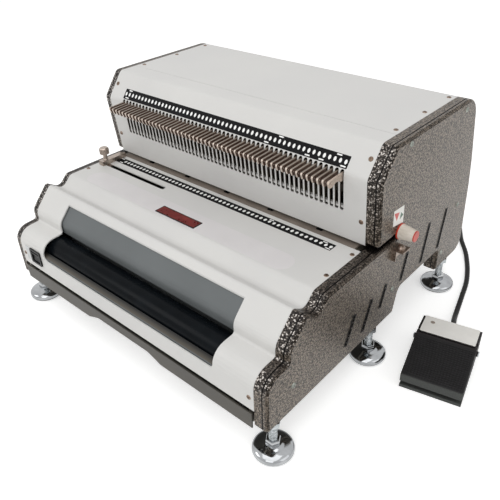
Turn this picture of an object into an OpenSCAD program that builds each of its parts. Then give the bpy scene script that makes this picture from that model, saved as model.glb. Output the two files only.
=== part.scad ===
// Electric coil punch with a coil inserter roller and a foot pedal.
// Working frame: X to the right from the middle of the pin row, Y to the rear from the
// upper front face, Z up from the floor. place() moves it to the middle of the base.

/* [Body] */
// Width of the covers beyond the pin row, at each end
row_edge = 25.2645; // [23:0.0005:40]
// Width of the right side panel's rim
rim_w = 15.8; // [14:0.2:20]
// Width of the left side panel's rim
left_rim_w = 10.5; // [9:0.1:16]
// Wall of a side panel
panel_t = 2; // [1.5:0.1:3]
// Thickness of the cover sheets
sheet_t = 1.5; // [1:0.1:2]
// Thickness of a frame plate
frame_t = 5; // [4:0.5:6]
// Height of the punch head above the deck
head_h = 110; // [100:1:130]
// Height of the deck above the floor
deck_z = 152; // [148:1:156]
// Height of the side panels' lower edge above the floor
skid_z = 44; // [40:1:46]
// Height of the carrying arch under the sides
arch_z = 75; // [70:1:80]
// Depth from the upper front face to the lower front face
front_reach = 170; // [166:1:180]
// Depth from the upper front face to the rear foot of the sides
rear_reach = 233.5; // [228:0.5:245]

/* [Punch row] */
// Number of punches, pins and slots
pin_count = 54; // [40:1:54]
// Spacing of the row, four holes to the inch
pin_pitch = 6.2865; // [6:0.0005:6.3]
// Diameter of a punch
punch_d = 4; // [3.5:0.1:4.4]
// Depth of the punch line behind the upper front face
punch_y = 39; // [38:0.5:42]
// Travel of the ram
stroke = 20; // [18:0.5:21]
// Height of the paper throat
throat_h = 6; // [5:0.5:7]
// Thickness of a pull pin
tab_t = 2.2; // [1.6:0.1:2.4]
// Height of a pull pin
tab_h = 8.6; // [8:0.1:9]
// Width of a pin slot
slot_w = 4.2; // [3:0.1:4.6]
// Length of a pin slot
slot_len = 46.3; // [42:0.1:50]

/* [Inserter] */
// Diameter of the rubber roller
roller_d = 34; // [28:0.5:36]
// Width of the deck at each end of the roller window
window_edge = 51; // [45:0.5:80]

/* [Controls] */
// Diameter of the margin knob at its base
knob_d = 16.5; // [14:0.5:20]
// Length of the margin knob
knob_len = 19; // [14:0.5:24]
// Width of the rocker switch
switch_w = 22; // [18:0.5:24]
// Height of the rocker switch
switch_h = 20; // [16:0.5:20]
// Travel of the edge guide along its slot
guide_travel = 110; // [60:1:120]

/* [Drawer and feet] */
// Height of the drawer front
drawer_h = 19; // [17:0.5:21]
// Depth of the chip tray
tray_h = 13; // [10:0.5:15]
// Diameter of a foot's cup
foot_d = 43; // [36:0.5:46]
// Diameter of a foot's stud
stud_d = 8; // [6:0.5:10]

/* [Pedal] */
// Width of the pedal
pedal_w = 66; // [60:1:80]
// Length of the pedal
pedal_len = 90; // [84:1:110]
// Height of the pedal's housing
pedal_h = 37; // [34:0.5:44]
// Diameter of the pedal's cord
cord_d = 6.5; // [5:0.1:6.5]

/* [Hidden] */
$fn = 48;

// Fits: pieces of one body, pieces that slide or turn, and pieces that only pass
seat_gap = 0.2;
fit_gap = 0.05;
run_gap = 0.3;
arc_step = 15;
cut = 1;

// Main planes across the width
cover_w = pin_count * pin_pitch + 2 * row_edge;
cover_x = cover_w / 2;
panel_x = cover_x + seat_gap;
side_x = panel_x + rim_w;
left_x = panel_x + left_rim_w;
frame_out_x = cover_x - 3;
frame_in_x = frame_out_x - frame_t;
between_x = frame_in_x - seat_gap;

// Stack of the punch, from the deck up
guide_t = 12;
die_t = 12;
guide_z = deck_z + throat_h;
guide_top = guide_z + guide_t;
flange_t = 8;
flange_z = guide_top + stroke + 2;
collar_z = flange_z + flange_t;
collar_h = 4;
top_z = deck_z + head_h;
tab_z = top_z - 38.7;
tab_top = tab_z + tab_h;
press_z = tab_top + run_gap;
press_t = 7.8;
ram_top = press_z + press_t;
slot_top = tab_top + 3;

// Inserter roller, set from the front skirt and the drawer under it
front_y = -front_reach;
skirt_z = skid_z + drawer_h + 1;
trough_gap = 5;
trough_t = 1.2;
trough_r = roller_d / 2 + trough_gap;
roller_y = front_y + sheet_t + trough_t + run_gap + trough_r;
roller_z = skirt_z + 2.5 + trough_r;
nose_z = roller_z + roller_d / 2 + 2.5;

// Side outline, corner by corner: [y, z, radius], anticlockwise with Y to the right
lip_y = 6.4;
rod_d = throat_h + 2;
rod_y = punch_y + 7.5;
rod_z = deck_z + throat_h + 2;
slot_end_y = rod_y - 2.5;
deck_rear_y = -1;
seam_y = 47;
rear_split_z = top_z - 30;
side_slot_h = throat_h;
lip_z = deck_z + throat_h - 2.5;
sole = [[front_y, skid_z, 3], [56, skid_z, 4], [64, arch_z, 8], [159, arch_z, 5],
    [161, skid_z, 2]];
heel = [rear_reach, skid_z, 18];
rear_bend = [rear_reach - 11.5, skid_z + 116, 250];
rear_top = [rear_reach - 36.5, top_z, 26];
brow_top = [22, top_z, 8];
brow = [-1.2, tab_z + 9.2, 9];
deck_corners = [[front_y + 88, deck_z, 8], [front_y + 74, deck_z - 13.5, 9],
    [front_y + 56.5, deck_z - 2, 4], [front_y + 31, nose_z + 15, 15],
    [front_y + 31.5, nose_z + 1.5, 3], [front_y, nose_z, 18]];
side_corners = concat(sole, [heel, rear_bend, rear_top, brow_top, brow,
    [lip_y, deck_z + side_slot_h, 1.5], [slot_end_y, deck_z + side_slot_h, 2.5],
    [slot_end_y, deck_z, 2.5]], deck_corners);

// Cover sheets, as open paths with the inside on their left
function rear_y_at(z) = rear_bend[0] + (rear_top[0] - rear_bend[0]) * (z - rear_bend[1])
    / (rear_top[1] - rear_bend[1]);
function low_rear_y(z) = heel[0] + (rear_bend[0] - heel[0]) * (z - heel[1]) / (rear_bend[1] - heel[1]);
front_path = [[seam_y, top_z, 0], brow_top, brow, [lip_y, lip_z, 0]];
top_path = [[rear_y_at(rear_split_z + 0.5), rear_split_z + 0.5, 0], rear_top, [seam_y + 0.5, top_z, 0]];
rear_path = [[rear_reach - 20, skid_z, 0], heel, rear_bend, [rear_y_at(rear_split_z), rear_split_z, 0]];
deck_path = concat([[deck_rear_y, deck_z, 0]], deck_corners, [[front_y, skirt_z, 0]]);
base_path = [[front_y + 6, skid_z, 0], sole[1], sole[2], sole[3], sole[4], [rear_reach - 22, skid_z, 0]];

// Punch drive: linear lift cams over the ram's rear lugs
cam_sweep = 150;
cam_low = 10;
cam_t = 12;
cam_x = 120;
cam_y = punch_y + 33;
cam_z = collar_z + cam_low + 0.15;
shaft_d = 14;
lift_rate = stroke / (cam_sweep * PI / 180);
nose_e = lift_rate / sin(180 - cam_sweep);
nose_r = cam_low + stroke - nose_e * cos(180 - cam_sweep);
web_y = punch_y + 11;
web_t = 8;
lug_end_y = cam_y + lift_rate + 12;
column_d = 9;
bush_t = 1.5;
boss_d = 15;
column_x = between_x - boss_d / 2 - 1;
comb_y = 16;
comb_t = 8;
tab_in_y = punch_y + 6;
pull = 12;

// Belt drives inside the side panels
belt_t = 1.4;
belt_w = 5;
pulley_w = 7;
flange_h = 1.8;
pulley_x = frame_out_x + 3;
left_pulley_x = left_x - panel_t - 1.5 - pulley_w;
big_pulley_r = 38;
small_pulley_r = 16;
motor_y = 146;
motor_z = deck_z + 38;
motor_shaft_d = 10;
roller_pulley_r = 14;
roller_drive_r = 10;
roller_motor_y = front_y + 85;
roller_motor_z = min(roller_z + 17.5, deck_z - 46);
bearing_t = 6;

// Inserter
window_w = cover_w - 2 * window_edge;
roller_len = window_w + 10;
trough_x = window_w / 2 + 8;
axle_d = 8;
window_low = roller_z - 2.5;
window_back_y = front_y + 49;

// Margin stop and edge guide
guide_y = -32;
guide_slot_w = 7;
guide_x = -cover_x + 11;
guide_slot = [guide_x - 5, guide_x + guide_travel + 7];

// Drawer, feet and pedal
tray_x = 168;
tray_end_y = 54;
tray_z = skid_z + sheet_t + run_gap;
drawer_z = skid_z - 3;
drawer_front_t = 1.5;
finger_w = 126;
finger_h = 13.5;
right_foot_x = panel_x + rim_w / 2;
left_foot_x = panel_x + left_rim_w / 2 - 2;
function foot_x(side) = side > 0 ? right_foot_x : -left_foot_x;
foot_ys = [front_y + 17, 19.6, rear_reach - 39];
cup_h = 11;
nut_h = 6;
block_h = 14;
pedal_end = [268, 99];
pedal_turn = 12.5;
pivot_v = 13;
pivot_z = pedal_h - 9;
pivot_d = 6;
boss_z = 13;
boss_len = 6;
gland_x = 60;
gland_z = 66;
gland_end_y = 250;

// Middle of the standing machine
mid_x = (side_x + knob_len - left_foot_x - foot_d / 2) / 2;
inlet_z = 100;
inlet_t = 3;
inlet_y = low_rear_y(inlet_z - 12);
mid_y = (inlet_y + inlet_t + min(foot_ys[0] - foot_d / 2, front_y - drawer_front_t)) / 2;

// Pedal cord: hand-chosen free stretches and a coil of two layers behind the machine
coil_at = [106.5, 332];
coil_step = 7;
coil_out_r = 46.5;
coil_turns = 2.875;
coil_in_r = coil_out_r - coil_turns * coil_step;
floor_cord = cord_d / 2 + 0.1;
lead_points = [[60, 250, 66], [60, 254, 66], [60, 258, 66], [60, 269.98, 63.62], [60, 280.13, 56.83],
    [60, 286.92, 46.68], [60, 289.3, 34.7], [60, 291.68, 22.72], [60, 298.47, 12.57], [60, 308.62, 5.78],
    [60, 320.6, 3.35], [60, 323.8, 3.35], [60, 327, 3.35]];
function tail(s) = [pedal_end[0] - s * sin(pedal_turn), pedal_end[1] + s * cos(pedal_turn), boss_z];
run_points = [[111.5, 378.5, 10.35], [116.5, 378.5, 10.35], [121.5, 378.5, 10.35], [138, 374.5, 9.4],
    [153, 364, 5.6], [165, 348, 3.5], [175, 330, 3.35], [185, 312, 3.35], [203, 286, 3.35],
    [214, 266, 3.35], [224, 245.5, 3.35], [235, 217, 3.35], [243, 186, 3.35], [250, 158, 3.6],
    [255.5, 137, 6], [260.5, 122, 10.4], tail(10), tail(5), tail(0)];

// Colours
white = "gainsboro";
hammer = "dimgray";
steel = "silver";
dark = "darkslategray";
black = "#222222";

// Helpers: paths with rounded corners and extrusions along X
function unit(v) = v / norm(v);
function flat(c) = [c[0], c[1]];
function left_of(a, b) = let (u = unit(b - a)) [-u[1], u[0]];
function mitre(a, b, c, d) = let (n = left_of(a, b), m = left_of(b, c)) b + (n + m) * d / (1 + n * m);
function grown(c, turn, d) = max(c[2] + (turn > 0 ? -d : d), 0);
function shifted(a, b, c, d) = let (p = flat(a), q = flat(b), r = flat(c), s = mitre(p, q, r, d))
    [s[0], s[1], b[2] > 0 ? grown(b, cross(q - p, r - q), d) : 0];
function inset(cs, d) = let (n = len(cs))
    [for (i = [0:n - 1]) shifted(cs[(i + n - 1) % n], cs[i], cs[(i + 1) % n], d)];
function beside(cs, d) = let (n = len(cs) - 1)
    [for (i = [0:n]) i == 0 ? concat(flat(cs[0]) + d * left_of(flat(cs[0]), flat(cs[1])), 0)
        : i == n ? concat(flat(cs[n]) + d * left_of(flat(cs[n - 1]), flat(cs[n])), 0)
        : shifted(cs[i - 1], cs[i], cs[i + 1], d)];
function arc(a, b, c, r) = let (u = unit(a - b), v = unit(c - b), half = acos(u * v) / 2,
    mid = b + unit(u + v) * r / sin(half), e = b + u * r / tan(half) - mid,
    f = b + v * r / tan(half) - mid, sweep = 180 - 2 * half, steps = ceil(sweep / arc_step))
    [for (i = [0:steps]) mid + (e * sin(sweep * (1 - i / steps)) + f * sin(sweep * i / steps))
        / sin(sweep)];
function bent(a, b, c) = b[2] < 0.01 ? [flat(b)] : arc(flat(a), flat(b), flat(c), b[2]);
function ring(cs) = let (n = len(cs))
    [for (i = [0:n - 1]) each bent(cs[(i + n - 1) % n], cs[i], cs[(i + 1) % n])];
function line(cs) = let (n = len(cs) - 1)
    [flat(cs[0]), for (i = [1:1:n - 1]) each bent(cs[i - 1], cs[i], cs[i + 1]), flat(cs[n])];
function backward(ps) = [for (i = [len(ps) - 1:-1:0]) ps[i]];
function strip(cs, t) = concat(line(cs), backward(line(beside(cs, t))));
function box_ring(w, h, r) = ring([[-w / 2, -h / 2, r], [w / 2, -h / 2, r], [w / 2, h / 2, r], [-w / 2,
    h / 2, r]]);
function pin_x(i) = (i - (pin_count - 1) / 2) * pin_pitch;

module place() translate([-mid_x, -mid_y, 0]) children();
module along_x(x0, x1) translate([x0, 0, 0]) rotate([90, 0, 90]) linear_extrude(x1 - x0) children();
module along_y(y0, y1) translate([0, y1, 0]) rotate([90, 0, 0]) linear_extrude(y1 - y0) children();
module rod_x(y, z, x0, x1, d) translate([x0, y, z]) rotate([0, 90, 0]) cylinder(d = d, h = x1 - x0);
module pipe_x(y, z, x0, x1, d, bore) difference() {
    rod_x(y, z, x0, x1, d);
    rod_x(y, z, x0 - cut, x1 + cut, bore);
}
module block(x0, x1, y0, y1, z0, z1) translate([x0, y0, z0]) cube([x1 - x0, y1 - y0, z1 - z0]);
module each_side() for (s = [-1, 1]) mirror([s < 0 ? 1 : 0, 0, 0]) children();

// Side panels: hollow caps whose rim has a groove and a rounded outer edge
groove_in = 6.6;
groove_w = 0.9;
edge_steps = [[2.6, 0], [1.5, 0.5], [0.7, 1.3], [0, 2.6]];
module rim_layer(x0, x1, d) along_x(panel_x + x0, panel_x + x1) polygon(ring(inset(side_corners, d)));
vent_r = 2.1;
vents = [[155, arch_z + 8, 163.7, arch_z + 58], [111.6, arch_z + 10, 121.2, arch_z + 58],
    [64.6, arch_z + 11, 73.2, arch_z + 43], [21.9, skid_z + 29, 30.6, skid_z + 55],
    [-11.8, skid_z + 18, 1.9, skid_z + 52], [-44.3, skid_z + 20, -30.3, skid_z + 52]];
module vent(v, x0, x1) along_x(x0, x1) let (a = [v[0], v[1]], b = [v[2], v[3]], u = unit(b - a) * vent_r,
    n = [-u[1], u[0]])
    polygon([a + n, a - n, b - n, b + n]);
module side_panel(w, foot_at, knob_hole) let (out_x = panel_x + w, groove_x = w - groove_in)
    difference() {
    union() {
        rim_layer(0, groove_x, 0);
        rim_layer(groove_x, groove_x + groove_w, groove_w);
        rim_layer(groove_x + groove_w, w - edge_steps[0][0], 0);
        for (i = [1:3]) rim_layer(w - edge_steps[i - 1][0], w - edge_steps[i][0], edge_steps[i][1]);
    }
    along_x(panel_x - cut, out_x - panel_t) polygon(ring(inset(side_corners, panel_t + groove_w)));
    for (v = vents) vent(v, out_x - panel_t - cut, out_x + cut);
    for (y = foot_ys) translate([foot_at, y, skid_z - cut]) cylinder(d = stud_d + 1,
        h = panel_t + groove_w + 2 * cut);
    if (knob_hole) rod_x(rod_y, rod_z, panel_x - cut, out_x + cut, rod_d + 1);
}
module left_side_panel() place() color(hammer) mirror([1, 0, 0])
    side_panel(left_rim_w, left_foot_x, false);
module right_side_panel() place() color(hammer) side_panel(rim_w, right_foot_x, true);

// Frame plates: what all shafts, plates and covers are carried by
module frame_plate() difference() {
    along_x(frame_in_x, frame_out_x) polygon(ring(inset(side_corners, sheet_t + seat_gap)));
    rod_x(cam_y, cam_z, 0, side_x, shaft_d + 12);
    rod_x(roller_y, roller_z, 0, side_x, axle_d + 11);
    rod_x(rod_y, rod_z, 0, side_x, rod_d + 2 * fit_gap);
}
module left_frame_plate() place() color(steel) difference() {
    mirror([1, 0, 0]) frame_plate();
    rod_x(motor_y, motor_z, -side_x, 0, 2 * small_pulley_r - 8);
}
module right_frame_plate() place() color(steel) difference() {
    frame_plate();
    rod_x(roller_motor_y, roller_motor_z, 0, side_x, 2 * roller_drive_r - 4);
}

// White covers
module cover(path) along_x(-cover_x, cover_x) polygon(strip(path, sheet_t));
module pin_slot(i) translate([pin_x(i), 0, 0]) along_y(-20, 20)
    translate([0, slot_top - slot_len / 2]) polygon(box_ring(slot_w, slot_len, slot_w / 2 - 0.05));
module upper_front_cover() place() color(white) difference() {
    cover(front_path);
    for (i = [0:pin_count - 1]) pin_slot(i);
}
module top_cover() place() color(white) cover(top_path);
inlet_edge = 75;
inlet_x = inlet_edge - cover_x;
module rear_cover() place() color(white) difference() {
    cover(rear_path);
    translate([inlet_x, 0, inlet_z]) along_y(rear_reach - 30, rear_reach + 9) polygon(box_ring(28, 20,
        2));
    translate([gland_x, rear_reach - 30, gland_z]) rotate([-90, 0, 0]) cylinder(d = 12 + 2 * fit_gap,
        h = 40);
    for (x = [-60:12:12]) translate([x, 0, 190]) along_y(rear_reach - 40, rear_reach)
        polygon(box_ring(3, 40, 1.4));
}
switch_x = -trough_x - 1 - switch_w / 2 + 2;
switch_z = skid_z + 39;
module deck_cover() place() color(white) difference() {
    cover(deck_path);
    along_y(front_y - cut, window_back_y) polygon(ring([[-window_w / 2, window_low, 6], [window_w / 2,
        window_low, 6],
        [window_w / 2, deck_z, 0], [-window_w / 2, deck_z, 0]]));
    translate([(guide_slot[0] + guide_slot[1]) / 2, guide_y, deck_z - 5]) linear_extrude(10)
        polygon(box_ring(guide_slot[1] - guide_slot[0], guide_slot_w, guide_slot_w / 2 - 0.05));
    translate([switch_x, 0, switch_z]) along_y(front_y - cut, front_y + 5)
        polygon(box_ring(switch_w - 4, switch_h - 3, 1));
}

// Base plate with the runners of the drawer
runner_x = tray_x + run_gap;
runner_t = 2;
module base_plate() place() color(hammer) {
    along_x(-between_x, between_x) polygon(strip(base_path, sheet_t));
    each_side() block(runner_x, runner_x + runner_t, front_y + 8, tray_end_y, skid_z + sheet_t / 2,
        tray_z + tray_h - 3);
}

// Chip drawer: a tray behind a full-width front with a finger arch
finger_r = (finger_w * finger_w / 4 + finger_h * finger_h) / (2 * finger_h);
tray_t = 1.2;
module chip_drawer() place() color(hammer) difference() {
    union() {
        block(-cover_x + 2, cover_x - 2, front_y - drawer_front_t, front_y, drawer_z,
            drawer_z + drawer_h);
        block(-tray_x, tray_x, front_y - drawer_front_t / 2, tray_end_y, tray_z, tray_z + tray_h);
    }
    block(-tray_x + tray_t, tray_x - tray_t, front_y + tray_t, tray_end_y - tray_t, tray_z + tray_t,
        tray_z + tray_h + cut);
    translate([0, front_y - 2 * drawer_front_t, drawer_z + finger_h - finger_r]) rotate([-90, 0, 0])
        intersection() {
            cylinder(r = finger_r, h = 2 * drawer_front_t, $fn = 180);
            translate([-finger_w / 2, -finger_r, 0]) cube([finger_w, finger_r, 2 * drawer_front_t]);
        }
}

// Die plate and guide plate, either side of the paper throat
plate_rear_y = punch_y + 23;
strip_screw_d = 7;
module row_bores(d, z, h) for (i = [0:pin_count - 1]) translate([pin_x(i), punch_y, z]) cylinder(d = d,
    h = h);
module die_plate() place() color(steel) difference() {
    block(-between_x, between_x, deck_rear_y + run_gap, plate_rear_y, deck_z - die_t, deck_z);
    row_bores(punch_d + 0.2, deck_z - die_t - cut, die_t + 2 * cut);
    for (i = [-2:2]) translate([i * cover_w * 0.176, lip_y + 4, deck_z - 3])
        cylinder(d = strip_screw_d, h = 4);
}
module guide_plate() place() color(steel) difference() {
    along_x(-between_x, between_x) polygon([[lip_y + 6, guide_z], [plate_rear_y, guide_z],
        [plate_rear_y, guide_top],
        [lip_y + 3, guide_top], [lip_y + 3, guide_z + 3]]);
    row_bores(punch_d + 2 * fit_gap, guide_z - cut, guide_t + 2 * cut);
    rod_x(rod_y, rod_z, -between_x - cut, between_x + cut, rod_d + 2 * run_gap);
}

// Punches: shank, collar over the ram's flange and a stem up to the pull pin
tip_z = guide_z + 3.5;
collar_d = punch_d + 1.6;
module punch(i) translate([pin_x(i), punch_y, 0]) rotate_extrude($fn = 20)
    polygon([[0, tip_z], [punch_d / 2, tip_z], [punch_d / 2, collar_z + 0.05], [collar_d / 2,
        collar_z + 0.05],
        [collar_d / 2, collar_z + collar_h], [punch_d / 2, collar_z + collar_h], [punch_d / 2,
            tab_z - 0.1], [0, tab_z - 0.1]]);
module punches() place() color(steel) for (i = [0:pin_count - 1]) punch(i);

// Ram: press bar, web and flange in one channel, with cam lugs and column bosses
ram_profile = [[punch_y - 8, flange_z], [web_y + web_t, flange_z], [web_y + web_t, ram_top],
    [comb_y + comb_t, ram_top],
    [comb_y + comb_t, press_z], [web_y, press_z], [web_y, collar_z], [punch_y - 8, collar_z]];
module punch_ram() place() color(steel) difference() {
    union() {
        along_x(-column_x, column_x) polygon(ram_profile);
        each_side() translate([column_x, punch_y, flange_z]) cylinder(d = boss_d, h = ram_top - flange_z);
        each_side() block(cam_x - cam_t / 2 - 2, cam_x + cam_t / 2 + 2, web_y + web_t - cut, lug_end_y,
            flange_z, collar_z);
    }
    row_bores(punch_d + 0.3, flange_z - cut, flange_t + 2 * cut);
    each_side() translate([column_x, punch_y, flange_z - cut]) cylinder(d = column_d + 2 * bush_t,
        h = ram_top - flange_z + 2 * cut);
    each_side() block(cam_x - cam_t / 2 - 2, cam_x + cam_t / 2 + 2, web_y - cut, web_y + web_t + cut,
        collar_z, ram_top + cut);
    for (s = [-1, 1]) block(s > 0 ? pin_x(pin_count - 1) + 3 : -column_x, s > 0 ? column_x : pin_x(0) - 3,
        comb_y, punch_y - boss_d / 2 - 0.5, flange_z - cut, ram_top + cut);
}
module ram_bushes() place() color("peru") each_side() translate([column_x, punch_y, flange_z])
    difference() {
    cylinder(d = column_d + 2 * bush_t - 2 * fit_gap, h = ram_top - flange_z);
    translate([0, 0, -cut]) cylinder(d = column_d + 2 * fit_gap, h = ram_top - flange_z + 2 * cut);
}
bracket_z = ram_top + 6;
bracket_t = 8;
module guide_columns() place() color(steel) each_side() translate([column_x, punch_y, guide_top])
    cylinder(d = column_d, h = bracket_z + bracket_t - guide_top);
module column_brackets() place() color(hammer) each_side() difference() {
    block(column_x - boss_d / 2, between_x, punch_y - boss_d / 2, punch_y + boss_d / 2, bracket_z,
        bracket_z + bracket_t);
    translate([column_x, punch_y, bracket_z - cut]) cylinder(d = column_d + 2 * fit_gap,
        h = bracket_t + 2 * cut);
}

// Comb that guides the pull pins, hung on the front of the press bar
comb_x = pin_x(pin_count - 1) + 3;
module pin_comb() place() color(dark) difference() {
    block(-comb_x, comb_x, comb_y, comb_y + comb_t - seat_gap, tab_z - 4, ram_top);
    for (i = [0:pin_count - 1]) block(pin_x(i) - tab_t / 2 - run_gap, pin_x(i) + tab_t / 2 + run_gap,
        comb_y - cut, comb_y + comb_t + cut, tab_z - run_gap, press_z);
}

// Pull pins: flat hooked tabs
tab_corners = [[-22.3, tab_z + 0.3, 1], [-17, tab_z, 1.5], [-12.5, tab_z + 2.8, 2.5],
    [-5.5, tab_z + 2.4, 1], [-4, tab_z, 0.5], [tab_in_y, tab_z, 0], [tab_in_y, tab_top, 0],
    [-2, tab_top, 4], [-25, tab_top - 0.9, 2]];
module die_pin(i) difference() {
    along_x(pin_x(i) - tab_t / 2, pin_x(i) + tab_t / 2) polygon(ring(tab_corners));
    rod_x(-21.5, tab_top - 3.6, pin_x(i) - tab_t, pin_x(i) + tab_t, 1.6);
}
loose_pins = 3;
module die_pins() place() color("rosybrown") for (i = [0:pin_count - 1 - loose_pins]) die_pin(i);
module die_pin_52() place() color("rosybrown") die_pin(pin_count - 3);
module die_pin_53() place() color("rosybrown") die_pin(pin_count - 2);
module die_pin_54() place() color("rosybrown") die_pin(pin_count - 1);

// Camshaft: each cam's reach grows evenly with its turn, so the ram falls evenly too
function cam_reach(t) = t <= cam_sweep ? cam_low + stroke * t / cam_sweep
    : t < 360 - cam_sweep ? nose_r + nose_e * cos(t - 180) : cam_reach(360 - t);
function cam_slide(t) = t <= cam_sweep ? lift_rate : t < 360 - cam_sweep ? -nose_e * sin(t - 180)
    : -lift_rate;
function cam_point(t) = cam_reach(t) * [sin(t), -cos(t)] + cam_slide(t) * [cos(t), sin(t)];
module lift_cams() place() color("slategray") each_side() difference() {
    translate([0, cam_y, cam_z]) along_x(cam_x - cam_t / 2, cam_x + cam_t / 2)
        polygon([for (t = [0:5:360]) cam_point(t)]);
    rod_x(cam_y, cam_z, cam_x - cam_t, cam_x + cam_t, shaft_d + 2 * fit_gap);
}
module camshaft() place() color(steel) rod_x(cam_y, cam_z, -left_pulley_x - pulley_w, frame_out_x + 1,
    shaft_d);
module bearing(y, z, bore, od, x) {
    pipe_x(y, z, x, x + frame_t, od - 2 * fit_gap, bore + 2 * fit_gap);
    pipe_x(y, z, x - 2, x - seat_gap / 2, od + 5, bore + 2 * fit_gap);
    pipe_x(y, z, x - seat_gap, x, od - 2 * fit_gap, bore + 2 * fit_gap);
}
module camshaft_bearings() place() color(dark) each_side() bearing(cam_y, cam_z, shaft_d, shaft_d + 12,
    frame_in_x);

// Pulleys and belts
module pulley(y, z, r, bore, x) translate([x, y, z]) rotate([0, 90, 0]) rotate_extrude($fn = 72)
    polygon([[bore / 2 + fit_gap, 0], [r + flange_h, 0], [r + flange_h, 0.9], [r, 0.9], [r,
        pulley_w - 0.9],
        [r + flange_h, pulley_w - 0.9], [r + flange_h, pulley_w], [bore / 2 + fit_gap, pulley_w]]);
function tangent_turn(a, ra, b, rb) = acos((ra - rb) / norm(b - a));
function loop(a, ra, b, rb) = let (d = b - a, base = atan2(d[1], d[0]), t = tangent_turn(a, ra, b, rb),
    n = 20)
    [for (i = [0:n]) a + ra * [cos(base + t + (360 - 2 * t) * i / n), sin(base + t + (360 - 2 * t)
        * i / n)],
     for (i = [0:n]) b + rb * [cos(base - t + 2 * t * i / n), sin(base - t + 2 * t * i / n)]];
module belt(a, ra, b, rb, x) along_x(x + (pulley_w - belt_w) / 2, x + (pulley_w + belt_w) / 2)
    difference() {
    polygon(loop(a, ra + belt_t + run_gap, b, rb + belt_t + run_gap));
    polygon(loop(a, ra + run_gap, b, rb + run_gap));
}
module camshaft_pulley() place() color(dark) pulley(cam_y, cam_z, big_pulley_r, shaft_d,
    -left_pulley_x - pulley_w);
module punch_motor_pulley() place() color(dark) {
    pulley(motor_y, motor_z, small_pulley_r, motor_shaft_d - 4, -left_pulley_x - pulley_w);
    rod_x(motor_y, motor_z, -left_pulley_x - pulley_w - 0.5, -frame_in_x + 14, motor_shaft_d);
}
module punch_belt() place() color(black) belt([cam_y, cam_z], big_pulley_r, [motor_y, motor_z],
    small_pulley_r, -left_pulley_x - pulley_w);
gearbox_len = 42;
motor_len = 78;
module motor_body(y, z, x, d, shaft) difference() {
    union() {
        rod_x(y, z, x, x + gearbox_len * d / 60, d);
        rod_x(y, z, x + gearbox_len * d / 60 - cut, x + motor_len * d / 60, d * 0.84);
        rod_x(y, z, x + motor_len * d / 60 - cut, x + motor_len * d / 60 + 6, d * 0.4);
    }
    rod_x(y, z, x - cut, x + 15, shaft + 2 * fit_gap);
}
module punch_motor() place() color("gray") motor_body(motor_y, motor_z, -between_x, 60, motor_shaft_d);

// Inserter roller in its trough
module roller_sleeve() place() color(black) pipe_x(roller_y, roller_z, -roller_len / 2, roller_len / 2,
    roller_d, axle_d + 2 * fit_gap);
module roller_shaft() place() color(steel) rod_x(roller_y, roller_z, -frame_out_x - 1,
    pulley_x + pulley_w, axle_d);
module roller_bearings() place() color(dark) each_side() bearing(roller_y, roller_z, axle_d,
    axle_d + 11, frame_in_x);
module roller_pulley() place() color(dark) pulley(roller_y, roller_z, roller_pulley_r, axle_d, pulley_x);
module roller_motor_pulley() place() color(dark) {
    pulley(roller_motor_y, roller_motor_z, roller_drive_r, axle_d - 4, pulley_x);
    rod_x(roller_motor_y, roller_motor_z, frame_in_x - 14, pulley_x + pulley_w + 1, axle_d);
}
module roller_belt() place() color(black) belt([roller_y, roller_z], roller_pulley_r, [roller_motor_y,
    roller_motor_z], roller_drive_r, pulley_x);
module roller_motor() place() color("gray") mirror([1, 0, 0]) motor_body(roller_motor_y,
    roller_motor_z, -between_x, 42, axle_d);
wall_gap = 1;
wall_line = beside(deck_path, sheet_t + wall_gap);
wall_top = flat(wall_line[3]) + (flat(wall_line[4]) - flat(wall_line[3])) * 0.12;
trough_arc = [for (t = [62:-11:-180]) [roller_y + trough_r * cos(t), roller_z + trough_r * sin(t), 0]];
trough_path = concat([[wall_top[0], wall_top[1], 0], wall_line[4]], trough_arc);
module roller_trough() place() color("gray") along_x(-trough_x, trough_x) polygon(strip(trough_path,
    trough_t));

// Rocker switch in the front of the deck cover
rocker_w = switch_w - 7;
rocker_h = switch_h - 6;
rocker_tilt = 8;
module switch_bezel() place() color(black) translate([switch_x, 0, switch_z]) difference() {
    union() {
        along_y(front_y - 2, front_y - seat_gap / 2) polygon(box_ring(switch_w, switch_h, 1.5));
        along_y(front_y - 1, front_y + 14) polygon(box_ring(switch_w - 4 - 2 * seat_gap,
            switch_h - 3 - 2 * seat_gap, 1));
    }
    along_y(front_y - 2 - cut, front_y + 9) polygon(box_ring(rocker_w + 1, rocker_h + 1, 0.5));
}
module switch_rocker() place() color(black) translate([switch_x, front_y + 1, switch_z])
    rotate([rocker_tilt, 0, 0])
    along_x(-rocker_w / 2, rocker_w / 2) polygon([[-2.5, -rocker_h / 2 + 0.6], [4.5, -rocker_h / 2 + 3],
        [4.5, rocker_h / 2 - 3], [-2.5, rocker_h / 2 - 0.6], [-1.2, 0]]);

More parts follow.
